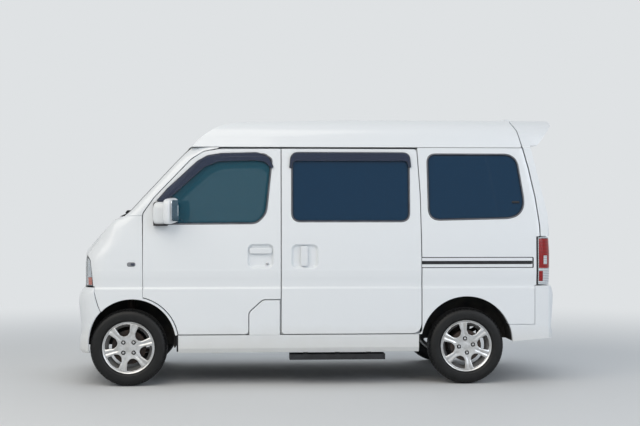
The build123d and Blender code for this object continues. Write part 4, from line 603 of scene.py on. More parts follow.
# Matt black, with a grain that breaks up the gloss.
rubber_seal = grained("rubber_epdm_moulded", "#15161a", "#24262b", 0.55, 2.4, 0.10)
# A little shinier than rubber, greyer where it is scratched.
black_plastic = grained("polypropylene_black_grained", "#17181b", "#26282c", 0.5, 2.0, 0.12)
# Light and dull, so that the inside of a gap is not black.
lining = grained("vinyl_board_light_grey", "#8d9093", "#7c7f83", 0.7, 3.0, 0.12)
# Dark grey with a fine leather grain, as dashboards have.
dark_plastic = grained("polypropylene_dark_grey_grained", "#3d4045", "#4a4e54", 0.6, 2.2, 0.12)

# %% [markdown]
# ## Doors and sides
# On the real van the doors hang in a gap of about 6 mm, and every outline has small corners that a press can
# form. The outlines are rows of a station, a height and a corner radius in the side view, and the wheel arches
# are true circles. The wing wraps round the nose to the screen pillar, so its outline is laid out in the belt chart.

# %% Outlines on the side
ARCH = {"front": (1286.0, 300.0), "rear": (-1038.0, 293.0)}      # the centre of each wheel arch: x, z
SIDE_FOOT_Z, DOOR_FOOT_Z = 352.0, 358.0


def arch_rows(place, radius, start, stop, count=34):
    """Points of a wheel arch between two angles in degrees."""
    x, z = ARCH[place]
    turn = np.radians(np.linspace(start, stop, count))
    return [(x + radius * c, z + radius * s, 0.0) for c, s in zip(np.cos(turn), np.sin(turn))]


def curve_open(rows, spacing=14.0):
    """An open line from rows of (a, b, corner radius), its corners rounded as in a closed outline."""
    ends = np.array([rows[0][:2], rows[-1][:2]], float)
    closed = curve_outline([(*rows[0][:2], 0.0), *rows[1:-1], (*rows[-1][:2], 0.0)], spacing)
    stop = int(np.argmin(np.linalg.norm(closed - ends[1], axis=1)))
    return closed[:stop + 1]


def mapped(rows, rays, end="front"):
    """Rows of one view, rounded there, as points of the belt chart."""
    return wrap_chart(on_form(body_form, rays, curve_open(rows)), end)


def grown(outline, amount):
    """The outline moved outwards by an amount, or inwards if it is negative."""
    turned = outline if area_of(outline) > 0 else outline[::-1]
    return turned + outward(turned) * amount


front_door_line = curve_outline([
    *arch_rows("front", 324.0, 169.7, 103.4), (1211, 1190, 60), (1131, 1302, 240), (878, 1568, 160),
    (794, 1622, 90), (687, 1640, 110), (261.8, 1643, 10), (261.8, 599, 10), (387, 599, 46), (486, 510, 46),
    (486, DOOR_FOOT_Z, 24),
])
front_window_line = curve_outline([
    (1062, 1120, 46), (1106, 1200, 60), (1098, 1248, 60), (802, 1565, 110), (705, 1600, 110), (372, 1606, 44),
    (322, 1570, 30), (362, 1190, 130), (430, 1124, 90),
])
slide_door_line = curve_outline([
    (255.2, DOOR_FOOT_Z, 24), (255.2, 1643, 10), (-689, 1643, 26), (-711, 1321, 0), (-719, 882, 0),
    (-719, DOOR_FOOT_Z, 75),
])
slide_window_line = curve_outline([(184, 1137, 62), (184, 1608, 50), (-636, 1608, 50), (-636, 1137, 62)])
quarter_line = curve_outline([
    (-655, SIDE_FOOT_Z, 4), *arch_rows("rear", 321.0, 10.6, 157.1), (-1517, 418, 4), (-1517, 690, 3),
    (-1530, 690, 3), (-1530, 1031, 4), (-1555, 1034, 4), (-1552, 1109, 0), (-1522, 1311, 0), (-1479, 1506, 0),
    (-1438, 1653, 3), (-695, 1653, 3), (-717, 1321, 0), (-725.5, 882, 0), (-725.5, SIDE_FOOT_Z + 4, 78),
])
quarter_window_line = curve_outline([
    (-764, 1608, 60), (-772, 1146, 84), (-1464, 1162, 138), (-1393, 1608, 108),
])
rail_line = curve_outline([(-728, 838, 1), (-1500, 838, 6), (-1500, 862, 6), (-728, 862, 1)])
notch_line = curve_outline([(479.5, SIDE_FOOT_Z, 3), (479.5, 507, 42), (384, 592.5, 42), (268.3, 592.5, 4),
                            (268.3, SIDE_FOOT_Z, 3)])
CREASES = (640, 664, 670, 675, 680, 685, 690, 760, 790, 798, 804, 810, 818)


def recess(x_low, x_high, z_low, z_high, deep, wall=11.0, corner=26.0):
    """How deep a rounded square hollow is at side-view points: a ramp one wall wide inside its outline."""
    middle = np.array([(x_low + x_high) / 2, (z_low + z_high) / 2])
    half = np.array([(x_high - x_low) / 2, (z_high - z_low) / 2]) - corner

    def depth_at(ab):
        past = np.abs(ab - middle) - half
        edge = np.linalg.norm(np.maximum(past, 0), axis=1) + np.minimum(past.max(axis=1), 0) - corner
        return deep * ramp(-edge, 0.0, wall)
    return depth_at


front_hollow = recess(308, 493, 814, 984, 20.0, 18.0, 40.0)
slide_hollow = recess(-1, 190, 810, 981, 22.0, 18.0, 40.0)


# %% [markdown]
# Each side panel is pressed from steel 0.7 mm thick and folded over at its border. A closed shell with a rolled
# border looks the same and has a thickness that the export can keep. The right side is the left one mirrored, with
# every face turned round, because a mirror alone would turn the shells inside out.

# %% Skins of the side
def side_skin(name, outline, body, node_name, **options):
    """A left panel and its twin on the right, both riding on their bodies for the CAD nodes of those names."""
    made = panel(name + "_left", outline, rays=SIDE_VIEW, thick=options.pop("thick", 45.0), rows=CREASES, **options)
    other = twin(made, name + "_right")
    for piece, side in ((made, "left"), (other, "right")):
        on = body if body == "body" else f"{body}_{side}"
        place(piece, on, "body_paint", body_white, lining,
              replaces=(f"{node_name}_{side}",) if node_name else ())
    return made, other


side_skin("front_door_skin", front_door_line, "door", "door", holes=(front_window_line,),
          fine=(((300, 806, 501, 992), 5.0),), relief=lambda ab, base: -front_hollow(ab))
side_skin("slide_door_skin", slide_door_line, "body", "slide_door", holes=(slide_window_line,),
          fine=(((-9, 802, 198, 989), 5.0),), relief=lambda ab, base: -slide_hollow(ab))
side_skin("quarter_skin", quarter_line, "body", "side", holes=(quarter_window_line, rail_line))
side_skin("notch_skin", notch_line, "body", None)

WING_TIP = [(1516, 557, 12), (1535, 617, 40), (1543, 650, 30)]
wing_outline = even(np.concatenate([
    mapped([*arch_rows("front", 302.0, 170.1, 45.5), *WING_TIP, (1543, 690, 3), (1553, 691, 3),
            (1561, 780, 0), (1573, 872, 20), (1600, 905, 0)], SIDE_VIEW),
    mapped([(606.5, 909, 0), (606.5, 1010, 0), (606.5, 1128, 20), (655, 1176, 30), (654, 1230, 30),
            (642, 1350, 0), (626, 1520, 0), (611, 1652, 0)], FRONT_VIEW),
    mapped([(760, 1654, 0), (690, 1654, 2), (690, 1647, 2), (796, 1628.5, 110), (881, 1574, 160),
            (1136, 1306.5, 240), (1217.5, 1192, 60), *arch_rows("front", 317.5, 103.4, 170.3)], SIDE_VIEW),
]), 14.0)


def wing_seam(ab, base):
    """A joint 5 mm deep where the wing ends and the screen pillar starts."""
    return -5.0 * (1 - ramp(np.abs(ab[:, 1] - 1177.0), 0.8, 2.8)) * (base[:, 1] > 600.0)


wing_left = panel("wing_skin_left", wing_outline, thick=40.0, relief=wing_seam,
                  rows=(*CREASES, 1173.6, 1175.0, 1176.0, 1177.0, 1178.0, 1179.0, 1180.4))
wing_right = twin(wing_left, "wing_skin_right")
for piece in (wing_left, wing_right):
    place(piece, "body", "body_paint", body_white, lining)

# %% [markdown]
# Behind each door gap the real van shows the pillar's flange. One panel set 47 mm inwards, with openings for the
# two doors and the rear window, stands for it, so that a gap is dark steel and not a look through the van.

# %% The frame behind the doors
door_way = grown(front_door_line, -30.0)
slide_way = grown(slide_door_line, -30.0)
frame_line = curve_outline([
    (-655, SIDE_FOOT_Z, 4), *arch_rows("rear", 323.0, 10.6, 157.1), (-1505, 430, 4), (-1505, 1020, 4),
    (-1480, 1506, 0), (-1425, 1653, 3), (690, 1653, 3), (800, 1626, 110), (886, 1568, 160), (1136, 1300, 240),
    (1238, 1186, 60), (1238, 640, 40), *arch_rows("front", 321.0, 100.0, 170.3),
])
frame_left = panel("door_frame_left", frame_line, (door_way, slide_way, grown(quarter_window_line, 14.0)),
                   rays=SIDE_VIEW, thick=34.0, lift=-47.0, spacing=24.0)
for piece in (frame_left, twin(frame_left, "door_frame_right")):
    place(piece, "body", "body_paint", body_white, lining)

# %% [markdown]
# ## Wheels and tyres
# A cast alloy wheel is a spoked face and a spun barrel in one casting, silver lacquered. Six spokes widen to the
# rim, each with a shallow channel, and four nuts stand in wells on a 100 mm circle. The face is a panel on a
# dished form with six windows. The barrel and the tyre are turned profiles, and the tyre's tread is cut into it.

# %% Rubber and alloy
def tyre_rubber():
    """Tyre rubber: vulcanised black, grey with road dust in random patches, with a grain of about 1.5 mm."""
    made, tree, shader = material("tyre_rubber_vulcanised", Roughness=0.5, IOR=1.5, Specular_IOR_Level=0.35)
    colour = blend_colour(tree, noise(tree, 30.0, 6.0, 0.65), (0.3, "#08090a"), (0.8, "#151617"))
    tree.links.new(colour, shader.inputs["Base Color"])
    bump(tree, shader, noise(tree, 650.0, 2.0), 0.25, 0.0003)
    return made


def cast_alloy():
    """Cast aluminium under silver lacquer: metal flakes of 1 mm, drawn that coarse to show, and brake dust."""
    made, tree, shader = material("aluminium_cast_silver_lacquer", Metallic=0.85, Roughness=0.3, Coat_Weight=0.5,
                                  Coat_Roughness=0.08)
    flakes = noise(tree, 900.0, 1.0)
    dust = noise(tree, 22.0, 4.0, 0.6)
    both = node(tree, "ShaderNodeMath", {"operation": "MULTIPLY_ADD", "_1": 0.35}, _0=flakes, _2=dust)
    colour = blend_colour(tree, both.outputs[0], (0.35, "#b4b2ad"), (0.85, "#d9dbdd"))
    tree.links.new(colour, shader.inputs["Base Color"])
    bump(tree, shader, flakes, 0.12, 0.0001)
    return made


def bare_steel(name, colour, worn, roughness, metal=0.9):
    """Machined or cast metal: tone that wanders in slow patches, and a fine tooth."""
    made, tree, shader = material(name, Metallic=metal, Roughness=roughness)
    tree.links.new(blend_colour(tree, noise(tree, 40.0, 6.0, 0.7), (0.3, colour), (0.75, worn)),
                   shader.inputs["Base Color"])
    bump(tree, shader, noise(tree, 400.0, 3.0), 0.25, 0.0003)
    return made


tyre_black, alloy_silver = tyre_rubber(), cast_alloy()
# Chrome gives a nut one bright spot.
nut_steel = bare_steel("steel_chromed_nut", "#c9cacc", "#8d8e90", 0.22)


# %% [markdown]
# A wheel's barrel, its tyre and its nuts are all turned parts. A lathe in Blender is Spin, but a profile carried
# round an axis by numpy gives the same and lets each row of the profile have its own slots and slant.

# %% Turned shapes
def turned(profile, steps=96, radial=None, slant=None, phases=(0.0,)):
    """A closed profile of (radius, y) turned about Y: x = r cos t, z = r sin t. A cut table, one depth for each
    profile point and phase, makes slots, and a slant turns each point's phases on by a share of a pitch."""
    profile = np.asarray(profile, float)
    share = np.concatenate([[k + phase for phase in phases] for k in range(steps)]) / steps
    turn = 2 * math.pi * (share[None] + (0.0 if slant is None else np.asarray(slant)[:, None] / steps))
    radius = profile[:, :1] - (0.0 if radial is None else np.tile(radial, (1, steps)))
    radius = np.broadcast_to(radius, turn.shape) if turn.shape[0] == len(profile) else \
        np.broadcast_to(radius, (len(profile), turn.shape[1]))
    turn = np.broadcast_to(turn, radius.shape)
    points = np.stack([radius * np.cos(turn), np.broadcast_to(profile[:, 1:], radius.shape),
                       radius * np.sin(turn)], -1)
    rows, columns = radius.shape
    index = np.arange(rows * columns).reshape(rows, columns)
    next_row, next_column = np.roll(index, -1, 0), np.roll(index, -1, 1)
    quads = np.stack([index, next_row, np.roll(next_row, -1, 1), next_column], -1).reshape(-1, 4)
    return points.reshape(-1, 3), quads


def outwards(mesh):
    """Points every face outwards, and marks edges sharper than 38 degrees."""
    work = bmesh.new()
    work.from_mesh(mesh)
    bmesh.ops.recalc_face_normals(work, faces=work.faces)
    work.to_mesh(mesh)
    work.free()
    mesh.set_sharp_from_angle(angle=math.radians(38))


def wheel_at(points, x, side, turn):
    """Points of a wheel about its own axle, turned, mirrored for the right side, and moved to the axle's end."""
    c, s = math.cos(turn), math.sin(turn)
    px, py, pz = points.T
    return np.stack([x + px * c - pz * s, side * (645.0 + py), 266.0 + px * s + pz * c], 1)


def rim_form(p):
    """The face of the spokes: a dish 11 mm deep at the hub that rises to the rim."""
    r = np.hypot(p[..., 0], p[..., 2])
    return p[..., 1] - (50.5 + 9.5 * ramp(r, 30.0, 150.0))


def rim_rays(a, b):
    zero = 0.0 * a
    return np.stack([a, zero, b], -1), np.stack([zero, zero + 1.0, zero], -1)


def rim_relief(ab, base):
    """Channels of 4 mm along the spokes, wells of 9 mm for the nuts and a 1 mm line round the cap."""
    r, turn = np.hypot(*ab.T), np.arctan2(ab[:, 1], ab[:, 0])
    off = (turn + math.pi / 6) % (math.pi / 3) - math.pi / 6
    aside = np.abs(r * np.sin(off))
    channel = -4.0 * (1 - ramp(aside, 2.5, 7.5 + 0.03 * r)) * ramp(r, 58.0, 92.0)
    shoulder = -3.0 * ramp(aside, 0.11 * r, 0.2 * r) * ramp(r, 85.0, 110.0)
    wells = np.zeros(len(ab))
    for k in range(4):
        nut = 50.0 * np.array([math.cos(k * math.pi / 2), math.sin(k * math.pi / 2)])
        wells -= 9.0 * (1 - ramp(np.linalg.norm(ab - nut, axis=1), 13.0, 15.5))
    cap = -1.2 * (1 - ramp(np.abs(r - 29.0), 0.4, 1.6)) + 1.5 * (1 - ramp(r, 0.0, 28.0))
    return channel + shoulder + wells + cap


def polar(rows):
    return [(r * math.cos(math.radians(t)), r * math.sin(math.radians(t)), *rest) for r, t, *rest in rows]


window = curve_outline(polar([(161, 19.4, 6), (104, 19.2, 26), (81, 9.0, 22), (81, -9.0, 22), (104, -19.2, 26),
                              (161, -19.4, 6), (163.5, -10, 0), (164, 0, 0), (163.5, 10, 0)]), 5.0)
windows = []
for k in range(6):
    c, s = math.cos((k + 0.5) * math.pi / 3), math.sin((k + 0.5) * math.pi / 3)
    windows.append(window @ np.array([[c, s], [-s, c]]))
rim_circle = np.array(polar([(166.5, t) for t in np.arange(0, 360, 3)]))
nut_places = ((50, 0), (0, 50), (-50, 0), (0, -50))
nut_patches = [((x - 17, z - 17, x + 17, z + 17), 2.0) for x, z in nut_places]
RIM_PROFILE = [
    (166, 53), (169, 57.5), (174, 61), (177, 63.4), (179, 63.6), (179.8, 61), (179.5, 58.2), (172, 57.8),
    (167, 57.2), (165, 52), (152, 26), (150, 24), (150, -24), (165, -52), (167, -57.2), (179.5, -58.2),
    (179.8, -61), (178.5, -63.6), (173, -64), (158, -56), (142, -24), (142, 18), (146, 24), (157, 41), (161.5, 48),
    (163, 52),
]
nut_profile = [(0.01, 58.0), (5.5, 58.0), (7.5, 57.0), (8.4, 55.5), (8.7, 52.0), (8.7, 40.0), (0.01, 40.0)]

# %% [markdown]
# The tyre is 155 mm wide, 65 percent of that high, on a 13 inch rim. Its tread has two grooves on each side of the
# middle and slanted slots between them, with 68 pitches round, which is how such a small tyre is cut.

# %% Tyre profile and tread
PITCHES = 68
TREAD_ROWS = [                                # y, radius, slot depth, slant in pitches
    (0.0, 266.0, 4.5, 0.00), (7.5, 265.9, 4.5, 0.30), (9.0, 259.0, 0.0, 0.34), (14.0, 259.0, 0.0, 0.34),
    (15.5, 265.6, 5.0, 0.20), (24.0, 265.2, 5.0, 0.45), (31.5, 264.7, 5.0, 0.70), (33.0, 258.5, 0.0, 0.74),
    (38.0, 258.5, 0.0, 0.74), (39.5, 264.0, 6.5, 0.50), (48.0, 262.8, 6.5, 0.55), (56.0, 260.8, 6.0, 0.60),
    (63.0, 257.6, 5.0, 0.64), (68.5, 253.6, 3.0, 0.66), (72.0, 249.0, 0.8, 0.66), (73.6, 246.0, 0.0, 0.66),
    (74.3, 243.5, 0.0, 0.66), (75.6, 242.0, 0.0, 0.66), (77.6, 230.0, 0.0, 0.66), (78.5, 217.0, 0.0, 0.66),
    (77.8, 206.0, 0.0, 0.66), (76.4, 199.0, 0.0, 0.66), (76.8, 196.5, 0.0, 0.66), (75.6, 194.0, 0.0, 0.66),
    (72.5, 189.0, 0.0, 0.66), (67.5, 184.0, 0.0, 0.66), (63.8, 181.2, 0.0, 0.66), (59.0, 180.6, 0.0, 0.66),
    (57.4, 177.0, 0.0, 0.66), (57.2, 167.0, 0.0, 0.66),
]
half_tread = np.array(TREAD_ROWS)
whole = np.concatenate([half_tread[::-1], half_tread[1:] * (-1, 1, 1, -1)])
slot_mask = np.array([0.0, 1.0, 1.0, 0.0, 0.0])
tread = turned(whole[:, [1, 0]], PITCHES, whole[:, 2:3] * slot_mask, whole[:, 3],
               (0.0, 0.05, 0.20, 0.25, 0.62))
barrel = turned(RIM_PROFILE, 120)
nut = turned(nut_profile, 24)
shade_ring = turned([(8.0, 46.0), (14.2, 46.0), (14.2, 41.0), (8.0, 41.0)], 24)
# A near-black ring under each nut: painted shade for the shadow in the nut's well.
painted_shade_ring_black = bare_steel("painted_shade_ring_near_black", "#0d0e0f", "#191a1b", 0.6, 0.2)

# %% [markdown]
# One wheel is built and set down four times. The front and rear wheels stand as they do in the photograph, with their
# spokes turned by different angles, and the nuts follow the spokes. A near-black ring under each nut is painted
# shade: it stands in for the shadow in the nut's well.

# %% Wheels on their hubs
face_piece = panel("rim_face", rim_circle, windows, form=rim_form, rays=rim_rays, thick=16.0, roll=1.6,
                   spacing=6.0, relief=rim_relief, fine=nut_patches)
face_points = np.array([v.co[:] for v in face_piece.data.vertices]) * 1000
face_faces = [tuple(f.vertices) for f in face_piece.data.polygons]
bpy.data.objects.remove(face_piece)

for axle, x, first_spoke in (("front", 1312.0, 45.0), ("rear", -1038.0, 82.0)):
    for side, sign in (("left", 1), ("right", -1)):
        body = f"wheel_{axle}_{side}"
        turn = math.radians(first_spoke if side == "left" else 180.0 - first_spoke - 11.0)
        points, faces, start = [], [], 0
        parts = [(face_points, face_faces), barrel]
        for part_points, part_faces in parts:
            points.append(part_points)
            faces += [tuple(int(i) + start for i in f) for f in part_faces]
            start += len(part_points)
        wheel = write_mesh(f"alloy_{axle}_{side}", wheel_at(np.concatenate(points), x, sign, turn), faces)
        outwards(wheel.data)
        place(wheel, body, "alloy", alloy_silver, replaces=(f"wheel_{axle}_{side}",))
        tyre = write_mesh(f"tyre_carcass_{axle}_{side}", wheel_at(tread[0], x, sign, turn), tread[1].tolist())
        outwards(tyre.data)
        place(tyre, body, "rubber", tyre_black, replaces=(f"tyre_{axle}_{side}",))
        # The near-black rings under the nuts are painted shade for the wells' shadow.
        for label, shape, finish in (("nuts", nut, nut_steel), ("shade_rings", shade_ring, painted_shade_ring_black)):
            points = np.concatenate([shape[0] + (nut_x, 0, nut_z) for nut_x, nut_z in nut_places])
            faces = np.concatenate([shape[1] + k * len(shape[0]) for k in range(4)])
            made = write_mesh(f"wheel_{label}_{axle}_{side}", wheel_at(points, x, sign, turn), faces)
            outwards(made.data)
            place(made, body, "chassis_steel", finish)
print("a tyre has", len(tread[1]), "faces and a wheel", len(face_faces) + len(barrel[1]))

# %% [markdown]
# ## Glass, lamps and the parts under the floor
# Toughened glass is clear with a breath of green from its iron, and the rear windows are dyed dark. The deep teal of
# the door glass is painted reflection and painted shade, and the deep blue of the rear windows is a painted
# reflection of the sky. Clear glass has to let lamplight in, so it is drawn as a thin gloss film with a low alpha and
# not as a lens. The parts under the van keep their solids' shapes and get the finish that they have on the real van:
# bitumen coat, cast iron and black enamel, each with the stone chips and dust of the road.

# %% Glass and lens materials
def pane(name, colour, alpha, wiped, shine=0.5):
    """Toughened glass as a film: high gloss, a tint by alpha, and a haze of road film that dulls it in patches."""
    made, tree, shader = material(name, Base_Color=linear(colour), IOR=1.52, Alpha=alpha,
                                  Specular_IOR_Level=shine)
    haze = noise(tree, 5.0, 5.0, 0.6)
    rough = node(tree, "ShaderNodeMapRange", {"From Min": 0.4, "From Max": 0.75, "To Min": 0.02, "To Max": wiped},
                 Value=haze)
    tree.links.new(rough.outputs["Result"], shader.inputs["Roughness"])
    return made


# Deep teal: painted reflection and painted shade, standing for the side glass's reflections and the dark interior
# behind it.
clear_glass = pane("glass_toughened_green", "#0d5468", 0.58, 0.09, 0.4)
# Two thin panes with a film between: clearer and greyer.
screen_glass = pane("glass_laminated_clear", "#33595f", 0.42, 0.09)
# Dyed in the melt and nearly opaque; its deep blue is a painted reflection of the sky.
privacy_glass = pane("glass_dyed_dark_painted_sky_blue", "#063350", 0.92, 0.08, 0.3)
# Bent smoked sheet; its blue-grey is a painted reflection of the sky.
smoked = pane("acrylic_smoked", "#2c3750", 0.66, 0.12)
# Almost nothing but a gloss over the bowl.
lens_clear = pane("polycarbonate_clear_lens", "#c3ccd2", 0.14, 0.06)


def lens_dyed(name, colour, deep, ribs_mm):
    """Dyed acrylic lens: fluted behind, which shows as fine upright ribs of its colour and a deeper one."""
    made, tree, shader = material(name, Roughness=0.12, IOR=1.49, Specular_IOR_Level=0.35,
                                  Coat_Weight=0.25, Coat_Roughness=0.04)
    place_node = node(tree, "ShaderNodeTexCoord")
    ribs = node(tree, "ShaderNodeTexWave", {"Scale": 1000.0 / (ribs_mm * 2 * math.pi), "Distortion": 0.3,
                                            "bands_direction": "Z"}, Vector=place_node.outputs["Object"])
    tree.links.new(blend_colour(tree, ribs.outputs["Fac"], (0.2, deep), (0.85, colour)),
                   shader.inputs["Base Color"])
    bump(tree, shader, ribs.outputs["Fac"], 0.3, 0.0004)
    return made


# Flutes of 5 mm make it sparkle and hide the bulb.
red_lens = lens_dyed("acrylic_red_fluted", "#b00b14", "#6a0409", 5.0)
# The same moulding in amber.
amber_lens = lens_dyed("acrylic_amber_fluted", "#e2590c", "#a63a04", 5.0)
# Clear, and white only through its flutes.
white_lens = lens_dyed("acrylic_clear_fluted", "#e3e6e8", "#a9b0b6", 6.0)
# A vapour mirror: the brightest thing in the lamp.
reflector = bare_steel("aluminium_vapour_reflector", "#dfe2e6", "#b9bdc2", 0.12, 1.0)
# Sprayed thick, so it has lumps of 6 mm and no shine.
bitumen = grained("underbody_coat_bitumen", "#1d1e20", "#34322e", 0.85, 6.0, 0.5)
# Rough from the sand mould, and rusty in patches.
cast_iron = bare_steel("iron_cast_painted", "#232426", "#4a3a30", 0.7, 0.35)
# Dipped enamel, brown where stones have chipped it.
black_enamel = bare_steel("steel_black_enamel", "#161719", "#3b342d", 0.5, 0.4)
# Grey skin that heat turns brown.
steel_tube = bare_steel("steel_aluminised_pipe", "#6f6a64", "#4b3c31", 0.5, 0.8)


def finish_nodes(finish, *names):
    """Gives CAD nodes that stay their finish."""
    for name in names:
        bpy.data.objects[name].data.materials[0] = finish


finish_nodes(body_white, "roof", "bonnet", "front_panel", "tailgate")
finish_nodes(bumper_white, "rear_bumper", "sills", "spoiler", "rail_covers")
finish_nodes(screen_glass, "windscreen")
# The door glass's deep teal is painted reflection and painted shade.
finish_nodes(clear_glass, "door_glass_left", "door_glass_right")
# The rear windows' deep blue is a painted reflection of the sky.
finish_nodes(privacy_glass, "slide_glass", "quarter_glass", "tailgate_glass")
finish_nodes(black_plastic, "cowl", "front_wipers", "rear_wiper", "grille", "side_step")
finish_nodes(dark_plastic, "dashboard", "steering_column")
finish_nodes(bitumen, "floor_pan", "front_suspension")
finish_nodes(cast_iron, "engine", "rear_axle", "knuckle_left", "knuckle_right")
finish_nodes(black_enamel, "fuel_tank", "propshaft")
finish_nodes(steel_tube, "exhaust")

# %% [markdown]
# ## Rubber, handles and mirrors
# A rubber strip closes the slot between glass and steel all round each window. It is a small round section
# carried along the window's own outline on the form. Handles and mirror housings are mouldings with no straight
# line in them: a superellipsoid, which is a ball whose squares are other powers, gives such a soft block.

# %% Beads and soft blocks
def bead(name, outline, body, rays=SIDE_VIEW, width=9.0, height=5.0, lift=0.0, inset=0.0, slot="black_trim",
         finish=None, sides=8, form=body_form, mirrored=True):
    """A strip along a closed outline: centre plus outward times width/2 cos t plus normal times height/2 sin t."""
    loop = outline if area_of(outline) > 0 else outline[::-1]
    way = outward(loop)
    loop = loop - way * inset
    base = on_form(form, rays, loop)
    up = normals_of(form, base)
    aside = on_form(form, rays, loop + way) - base
    aside -= up * np.sum(aside * up, 1, keepdims=True)
    aside /= np.linalg.norm(aside, axis=1, keepdims=True)
    t = np.arange(sides) * 2 * math.pi / sides
    ring = (base + up * lift)[:, None] + (aside[:, None] * (np.cos(t) * width / 2)[None, :, None]
                                          + up[:, None] * (np.sin(t) * height / 2)[None, :, None])
    index = np.arange(len(loop) * sides).reshape(len(loop), sides)
    ahead, over = np.roll(index, -1, 0), np.roll(index, -1, 1)
    faces = np.stack([index, ahead, np.roll(ahead, -1, 1), over], -1).reshape(-1, 4)
    made = write_mesh(name, ring.reshape(-1, 3), faces)
    outwards(made.data)
    pieces = [made] + ([twin(made, name + "_right")] if mirrored else [])
    for piece, side in zip(pieces, ("left", "right")):
        place(piece, body.replace("*", side), slot, finish or rubber_seal)
    return pieces


def soft_block(centre, half, powers=(0.35, 0.35), steps=(20, 40), taper=None):
    """A superellipsoid: each of cos and sin is raised to a power below one, which squares the ball off. A taper
    takes the unit block's points and returns them changed."""
    u = np.linspace(-math.pi / 2, math.pi / 2, steps[0] + 1)[:, None]
    v = np.linspace(0, 2 * math.pi, steps[1], endpoint=False)[None]

    def power(value, exponent):
        return np.sign(value) * np.abs(value) ** exponent
    unit = np.stack([power(np.cos(u), powers[0]) * power(np.cos(v), powers[1]),
                     power(np.cos(u), powers[0]) * power(np.sin(v), powers[1]),
                     power(np.sin(u), powers[0]) + 0 * v], -1)
    unit = np.concatenate([unit[1:-1].reshape(-1, 3), unit[0, :1], unit[-1, :1]])
    if taper is not None:
        unit = taper(unit)
    rows, columns = steps[0] - 1, steps[1]
    index = np.arange(rows * columns).reshape(rows, columns)
    over = np.roll(index, -1, 1)
    quads = np.stack([index[:-1], over[:-1], over[1:], index[1:]], -1).reshape(-1, 4).tolist()
    low, high = rows * columns, rows * columns + 1
    quads += [(low, int(b), int(a)) for a, b in zip(index[0], over[0])]
    quads += [(high, int(a), int(b)) for a, b in zip(index[-1], over[-1])]
    return np.asarray(centre) + unit * np.asarray(half), quads


def join_shapes(*shapes):
    """Several point and face lists as one."""
    points, faces, start = [], [], 0
    for shape_points, shape_faces in shapes:
        points.append(shape_points)
        faces += [tuple(int(i) + start for i in f) for f in shape_faces]
        start += len(shape_points)
    return np.concatenate(points), faces


def block_piece(name, body, slot, finish, *shapes, replaces=(), mirrored=False):
    """A piece of one or more soft blocks, and its mirror image if asked."""
    made = write_mesh(name + ("_left" if mirrored else ""), *join_shapes(*shapes))
    outwards(made.data)
    place(made, body.replace("*", "left"), slot, finish, replaces=tuple(n.replace("*", "left") for n in replaces))
    if mirrored:
        other = twin(made, name + "_right")
        place(other, body.replace("*", "right"), slot, finish,
              replaces=tuple(n.replace("*", "right") for n in replaces))
    return made


# %% [markdown]
# The glass of each side window is held by a rubber section about 13 mm wide. It is one bead along the outline. A
# mirror housing is two soft blocks, one of them turned and thinner at its tip, on a black foot.

# %% Window rubbers, mirrors and handles
bead("front_window_rubber", front_window_line, "door_*", width=13.0, height=6.0, inset=1.0)
bead("slide_window_rubber", slide_window_line, "body", width=13.0, height=6.0, inset=1.0)
bead("quarter_window_rubber", quarter_window_line, "body", width=13.0, height=6.0, inset=1.0)


def lean(unit):
    """A mirror housing: thinner towards its outer end, and its back is swept."""
    out = unit.copy()
    out[:, 0] *= 1.0 - 0.25 * unit[:, 1]
    out[:, 2] *= 1.0 - 0.10 * unit[:, 1] * np.sign(unit[:, 2])
    return out


def at_side(x, z):
    """The side's own y at a station and height."""
    return on_form(body_form, SIDE_VIEW, np.array([[x, z]], float))[0, 1]


def swung(shape, about, degrees):
    """A shape turned about an upright line, anticlockwise seen from above."""
    points, faces = shape
    c, s = math.cos(math.radians(degrees)), math.sin(math.radians(degrees))
    x, y = points[:, 0] - about[0], points[:, 1] - about[1]
    return np.stack([about[0] + c * x - s * y, about[1] + s * x + c * y, points[:, 2]], 1), faces


block_piece("mirror_housing", "door_*", "bumper_paint", bumper_white,
            swung(soft_block((1020, 818, 1210), (38, 66, 86), (0.45, 0.5), (24, 44), lean), (1020, 818), -24),
            soft_block((1090, 756, 1192), (50, 44, 80), (0.6, 0.6), (24, 40)),
            mirrored=True, replaces=("door_mirror_*",))
block_piece("mirror_foot", "door_*", "black_trim", black_plastic,
            soft_block((1086, 724, 1190), (56, 8, 84), (0.3, 0.4)),
            soft_block((1088, 756, 1114), (50, 40, 7), (0.5, 0.5)), mirrored=True)
block_piece("mirror_glass", "door_*", "clear_glass", reflector,
            swung(soft_block((982, 818, 1210), (4, 55, 74), (0.3, 0.3), (16, 40)), (1020, 818), -24),
            mirrored=True)

handle_y, bar_y = at_side(401, 934), at_side(98, 898)
block_piece("front_handle", "door_*", "bumper_paint", bumper_white,
            soft_block((401, handle_y - 3, 934), (77, 8, 20), (0.3, 0.25), (14, 48)), mirrored=True)
block_piece("slide_handle", "body", "bumper_paint", bumper_white,
            soft_block((98, bar_y - 4, 898), (24, 8, 69), (0.25, 0.3), (24, 40)), mirrored=True)
block_piece("front_lock", "door_*", "alloy", nut_steel,
            soft_block((355, at_side(355, 842) - 12, 845), (9, 4, 9), (0.7, 1.0), (8, 24)), mirrored=True)
# The marker's base is light grey lining: painted shade, as the lamp housing sits in shadow.
block_piece("side_marker", "body", "lamp_lens", lining,
            soft_block((1290, at_side(1290, 842) + 1, 842), (29, 5, 15), (0.6, 0.7), (12, 36)), mirrored=True)
print("mirrors, handles, markers and rubbers placed")

# %% [markdown]
# ## Visors, lamps and plates
# Rain visors are smoked acrylic strips bent to stand off the glass. Lamps are lenses that carry on the body's
# own surface, with a bowl behind. They are panels again, cut from the same form as the steel round them, so that
# their faces run on. The number plates stay blank.

